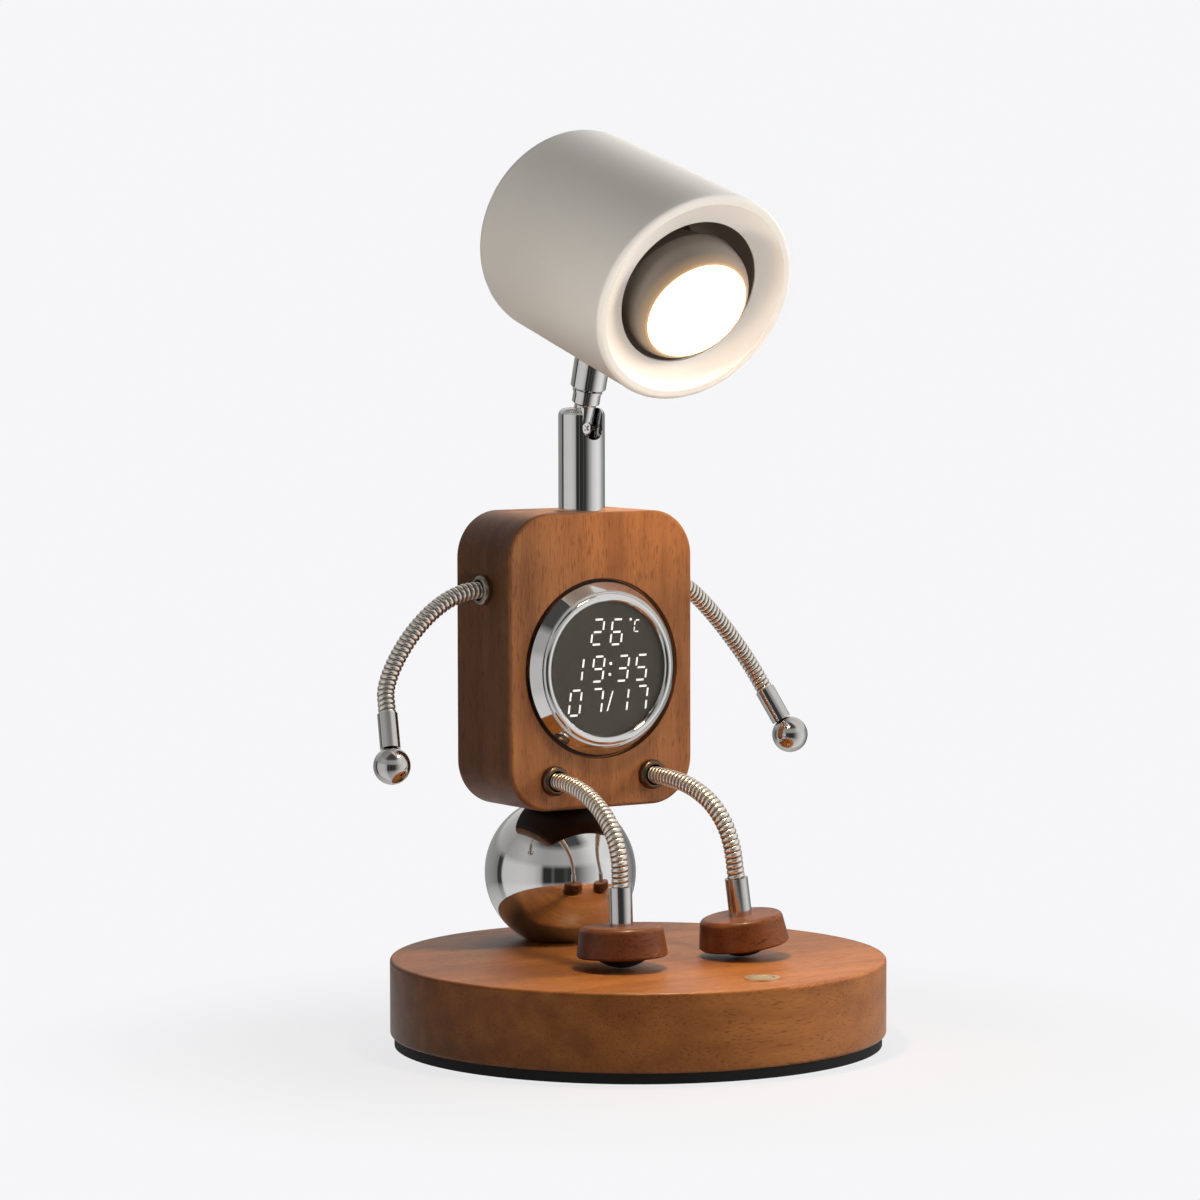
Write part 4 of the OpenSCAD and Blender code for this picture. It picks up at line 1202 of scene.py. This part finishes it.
@dataclass
class Studio:
    """Floor, background, lights and camera.

    The panels are the room that polished metal shows: angles round the room from the camera's side, each with
    its grey, for the low part of the room, its middle and its upper part.
    """

    lamp: Lamp
    backdrop: Colour = (0.921, 0.921, 0.935)
    ambient: Colour = (0.04, 0.04, 0.0408)
    camera_place: Colour = (-0.979244, -1.471474, 0.292488)
    camera_right: Colour = (0.836890, -0.547368, -0.001933)
    camera_up: Colour = (0.039434, 0.056770, 0.997608)
    camera_back: Colour = (-0.545949, -0.834965, 0.069095)
    lens: float = 139.511
    sensor: float = 36.0
    view_end: float = 50.0
    aim: Colour = (0.0, 0.0, 0.17)
    floor_r: float = 0.6
    floor_drop: float = 0.00002
    floor_grey: Colour = (0.50, 0.50, 0.503)
    floor_near: float = 0.10
    floor_plain: float = 0.26
    floor_far: float = 0.34
    shadow_share: float = 0.15
    mirror_share: float = 0.35
    spot_edge: float = 0.6
    beam_ahead: float = 12.0
    beam_size: float = 0.038
    halo_ahead: float = 9.0
    halo_size: float = 0.004
    low_panels: tuple[Pair, ...] = (
        (-180.0, 0.35), (-130.0, 0.30), (-113.0, 0.22), (-110.0, 0.04), (-102.0, 0.04), (-98.0, 0.62),
        (-60.0, 0.68), (-40.0, 0.60), (-30.0, 0.42), (-25.0, 0.03), (-14.0, 0.03), (-11.0, 0.12),
        (-7.0, 0.03), (4.0, 0.03), (9.0, 0.07), (15.0, 0.03), (20.0, 0.05), (30.0, 0.18), (42.0, 0.42),
        (60.0, 0.75), (90.0, 0.96), (105.0, 0.75), (121.0, 0.43), (146.0, 0.20), (180.0, 0.35),
    )
    middle_panels: tuple[Pair, ...] = (
        (-180.0, 0.85), (-140.0, 0.50), (-100.0, 0.35), (-60.0, 0.50), (-25.0, 0.36), (30.0, 0.45),
        (60.0, 0.85), (120.0, 0.80), (180.0, 0.85),
    )
    middle_starts: Pair = (0.18, 0.30)
    upper_panels: tuple[Pair, ...] = (
        (-180.0, 0.60), (-140.0, 0.25), (-60.0, 0.35), (-38.0, 0.07), (40.0, 0.07), (66.0, 0.80),
        (120.0, 0.78), (180.0, 0.60),
    )
    upper_starts: Pair = (0.60, 0.72)

    def camera(self) -> None:
        """Puts the camera where the photograph's was."""
        data = bpy.data.cameras.new("photo_camera")
        data.sensor_width = self.sensor
        data.lens = self.lens
        data.clip_end = self.view_end
        camera = bpy.data.objects.new("photo_camera", data)
        turn = Matrix((self.camera_right, self.camera_up, self.camera_back)).transposed()
        camera.matrix_world = Matrix.Translation(self.camera_place) @ turn.to_4x4()
        bpy.context.scene.collection.objects.link(camera)
        bpy.context.scene.camera = camera

    @staticmethod
    def mirrored(tree: Tree, path: Node) -> Socket:
        """Gives one where a mirror or glass looks at a surface."""
        return maths(tree, "MAXIMUM", path.outputs["Is Glossy Ray"], path.outputs["Is Transmission Ray"])

    @staticmethod
    def walls(tree: Tree, turn: Socket, panels: tuple[Pair, ...]) -> Socket:
        """Gives the greys of one part of the room for a turn between none and one."""
        return ramp(tree, turn, [((angle + 180.0) / 360.0, (grey, grey, grey)) for angle, grey in panels])

    def reflected(self, tree: Tree) -> Socket:
        """Gives the pale walls and dark gaps of the room that polished metal shows.

        Args:
            tree: The world's node tree.

        Returns:
            The room's colour.
        """
        ray = add_node(tree, "ShaderNodeTexCoord").outputs["Generated"]
        across, ahead = (
            add_node(tree, "ShaderNodeVectorMath", {0: ray, 1: (*axis[:2], 0.0)}, operation="DOT_PRODUCT")
            for axis in (self.camera_right, self.camera_back)
        )
        angle = maths(tree, "ARCTAN2", across.outputs["Value"], ahead.outputs["Value"])
        turn = maths(tree, "MULTIPLY_ADD", angle, 0.5 / math.pi, 0.5)
        height = add_node(tree, "ShaderNodeSeparateXYZ", {0: ray}).outputs[2]
        colour = self.walls(tree, turn, self.low_panels)
        middle = (self.middle_panels, self.middle_starts)
        upper = (self.upper_panels, self.upper_starts)
        for panels, starts in (middle, upper):
            share = climb(tree, height, *starts)
            colour = mix_colour(tree, share, colour, self.walls(tree, turn, panels))
        return colour

    def world(self) -> None:
        """Lights the room evenly and shows the backdrop's colour to the camera."""
        world = bpy.data.worlds.new("studio_room")
        bpy.context.scene.world = world
        world.use_nodes = True
        tree = world.node_tree
        tree.nodes.clear()
        path = add_node(tree, "ShaderNodeLightPath")
        inside = mix_colour(tree, self.mirrored(tree, path), rgba(self.ambient), self.reflected(tree))
        colour = mix_colour(tree, path.outputs["Is Camera Ray"], inside, rgba(self.backdrop))
        back = add_node(tree, "ShaderNodeBackground", {"Color": colour, "Strength": 1.0})
        add_node(tree, "ShaderNodeOutputWorld", {"Surface": back.outputs[0]})

    def floor(self) -> None:
        """Lays a round pale floor that fades into the backdrop away from the lamp."""
        bm = bmesh.new()
        bmesh.ops.create_circle(bm, cap_ends=True, segments=128, radius=self.floor_r)
        bmesh.ops.translate(bm, vec=(0.0, 0.0, -self.floor_drop), verts=bm.verts)
        material = bpy.data.materials.new("pale_floor")
        material.use_nodes = True
        tree = material.node_tree
        tree.nodes.clear()
        path = add_node(tree, "ShaderNodeLightPath")
        away = away_from(tree, add_node(tree, "ShaderNodeTexCoord").outputs["Object"], ORIGIN)
        fade = climb(tree, away, self.floor_near, self.floor_plain, kind="SMOOTHSTEP")
        shadow = add_node(tree, "ShaderNodeBsdfDiffuse", {"Color": rgba(self.floor_grey)})
        plain = add_node(tree, "ShaderNodeEmission", {"Color": rgba(self.backdrop), "Strength": 1.0})
        near = maths(tree, "MULTIPLY_ADD", fade, self.shadow_share, 1.0 - self.shadow_share)
        seen = maths(tree, "MAXIMUM", path.outputs["Is Camera Ray"], self.mirrored(tree, path))
        share = maths(tree, "MULTIPLY", seen, near)
        pale = add_node(tree, "ShaderNodeMixShader", {0: share, 1: shadow.outputs[0], 2: plain.outputs[0]})
        clear = add_node(tree, "ShaderNodeBsdfTransparent")
        far = climb(tree, away, self.floor_near, self.floor_far, self.mirror_share)
        mirror = maths(tree, "MULTIPLY", path.outputs["Is Glossy Ray"], far)
        whole = add_node(tree, "ShaderNodeMixShader", {0: mirror, 1: pale.outputs[0], 2: clear.outputs[0]})
        add_node(tree, "ShaderNodeOutputMaterial", {"Surface": whole.outputs[0]})
        add_piece(bm, "floor", material)

    @staticmethod
    def hang(name: str, kind: str, place: Vector, look: Vector, power: float, colour: Colour) -> Piece:
        """Hangs a light that polished metal doesn't show.

        Args:
            name: Its name.
            kind: Its type.
            place: Where it hangs, in metres.
            look: The direction in which it shines.
            power: Its power in watts.
            colour: Its colour.

        Returns:
            The light's object.
        """
        data = bpy.data.lights.new(name, kind)
        data.energy = power
        data.color = colour
        light = bpy.data.objects.new(name, data)
        light.matrix_world = facing(place, look, "-Z")
        light.visible_glossy = False
        bpy.context.scene.collection.objects.link(light)
        return light

    def softbox(self, name: str, place: Colour, size: float, power: float) -> None:
        """Hangs a square area light that points at the lamp.

        Args:
            name: Its name.
            place: Where it hangs.
            size: Its width and height.
            power: Its power in watts.
        """
        light = self.hang(name, "AREA", Vector(place), Vector(self.aim) - Vector(place), power, WHITE)
        light.data.shape = "RECTANGLE"
        light.data.size = light.data.size_y = size

    def snoot(self, name: str, place: Colour, aim: Colour, angle: float, power: float, colour: Colour,
              soft: float = 0.02) -> None:
        """Hangs a narrow light that lights one piece only.

        Args:
            name: Its name.
            place: Where it hangs.
            aim: What it points at.
            angle: Its cone, in degrees.
            power: Its power in watts.
            colour: Its colour.
            soft: Its radius.
        """
        data = self.hang(name, "SPOT", Vector(place), Vector(aim) - Vector(place), power, colour).data
        data.spot_size = math.radians(angle)
        data.spot_blend = self.spot_edge
        data.shadow_soft_size = soft

    def flag(self, name: str, place: Colour, aim: Colour, size: Pair, shade: float) -> None:
        """Stands a dark card out of view, which keeps light off one side.

        Args:
            name: Its name.
            place: Its middle.
            aim: What it faces.
            size: Its width and height.
            shade: Its grey.
        """
        bm = bmesh.new()
        bmesh.ops.create_grid(bm, x_segments=1, y_segments=1, size=0.5)
        bmesh.ops.scale(bm, vec=(*size, 1.0), verts=bm.verts)
        stand = facing(Vector(place), Vector(aim) - Vector(place), "Z")
        bmesh.ops.transform(bm, matrix=stand, verts=bm.verts)
        material = bpy.data.materials.new(name)
        material.use_nodes = True
        tree = material.node_tree
        grey = rgba((shade, shade, shade))
        feed(tree, tree.nodes["Principled BSDF"], {"Base Color": grey, "Roughness": 0.9})
        piece = add_piece(bm, name, material)
        piece.visible_camera = False
        piece.visible_glossy = False

    def beam(self, power: float, colour: Colour) -> None:
        """Throws the bulb's light onto the base.

        Args:
            power: The light's power in watts.
            colour: Its colour.
        """
        place = self.lamp.bulb_face(self.beam_ahead) * MM
        beam = self.hang("bulb_beam", "AREA", place, self.lamp.shine(), power, colour)
        beam.data.shape = "DISK"
        beam.data.size = self.beam_size
        beam.visible_camera = False
        beam.visible_glossy = True
        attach(beam, Body.HEAD.value)

    def halo(self, power: float, colour: Colour) -> None:
        """Lights the mouth round the bulb with what the lens spills sideways.

        Args:
            power: The light's power in watts.
            colour: Its colour.
        """
        place = self.lamp.bulb_face(self.halo_ahead) * MM
        halo = self.hang("lens_halo", "POINT", place, self.lamp.shine(), power, colour)
        halo.data.shadow_soft_size = self.halo_size
        halo.visible_camera = False
        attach(halo, Body.HEAD.value)

    def build(self) -> None:
        """Sets up the whole studio."""
        bpy.context.scene.view_settings.view_transform = "Standard"
        self.camera()
        self.world()
        self.floor()
        self.softbox("key_softbox", (1.72, -0.83, 0.85), 0.9, 40.0)
        self.softbox("top_softbox", (0.9, 0.8, 1.3), 0.9, 14.0)
        self.flag("left_flag", (-0.26, 0.10, 0.12), (0.0, 0.05, 0.12), (0.34, 0.15), 0.02)
        self.snoot("shade_snoot", (-1.85, -0.2, -0.15), (0.0, 0.0, 0.345), 9.0, 198.0, (1.0, 0.965, 0.9),
                   soft=0.25)
        self.snoot("mouth_snoot", (-0.4, -1.8, 0.25), (0.0, 0.0, 0.31), 10.0, 205.0, (0.98, 0.985, 1.0),
                   soft=0.25)
        self.snoot("rim_snoot", (0.9, 0.9, 0.8), (0.028, 0.04, 0.205), 4.0, 420.0, (1.0, 0.94, 0.58))
        self.snoot("top_snoot", (0.9, -1.0, 0.75), (0.034, 0.025, 0.214), 3.6, 90.0, (1.0, 0.60, 0.14))
        self.snoot("low_snoot", (-0.42, -0.08, 0.02), (-0.03, -0.04, 0.275), 26.0, 3.2, (1.0, 0.95, 0.9),
                   soft=0.06)
        self.beam(1.15, (1.0, 0.74, 0.44))
        self.halo(0.016, (1.0, 0.66, 0.36))


def main() -> None:
    """Builds the studio, the finishes and the new pieces in order."""
    logging.basicConfig(level=logging.INFO, format="%(name)s: %(message)s")
    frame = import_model()
    lamp = Lamp()
    Studio(lamp).build()
    Solids(lamp).dress(frame["nodes"])
    Limbs(lamp).dress()
    ClockFace(lamp).dress()


if __name__ == "__main__":
    main()
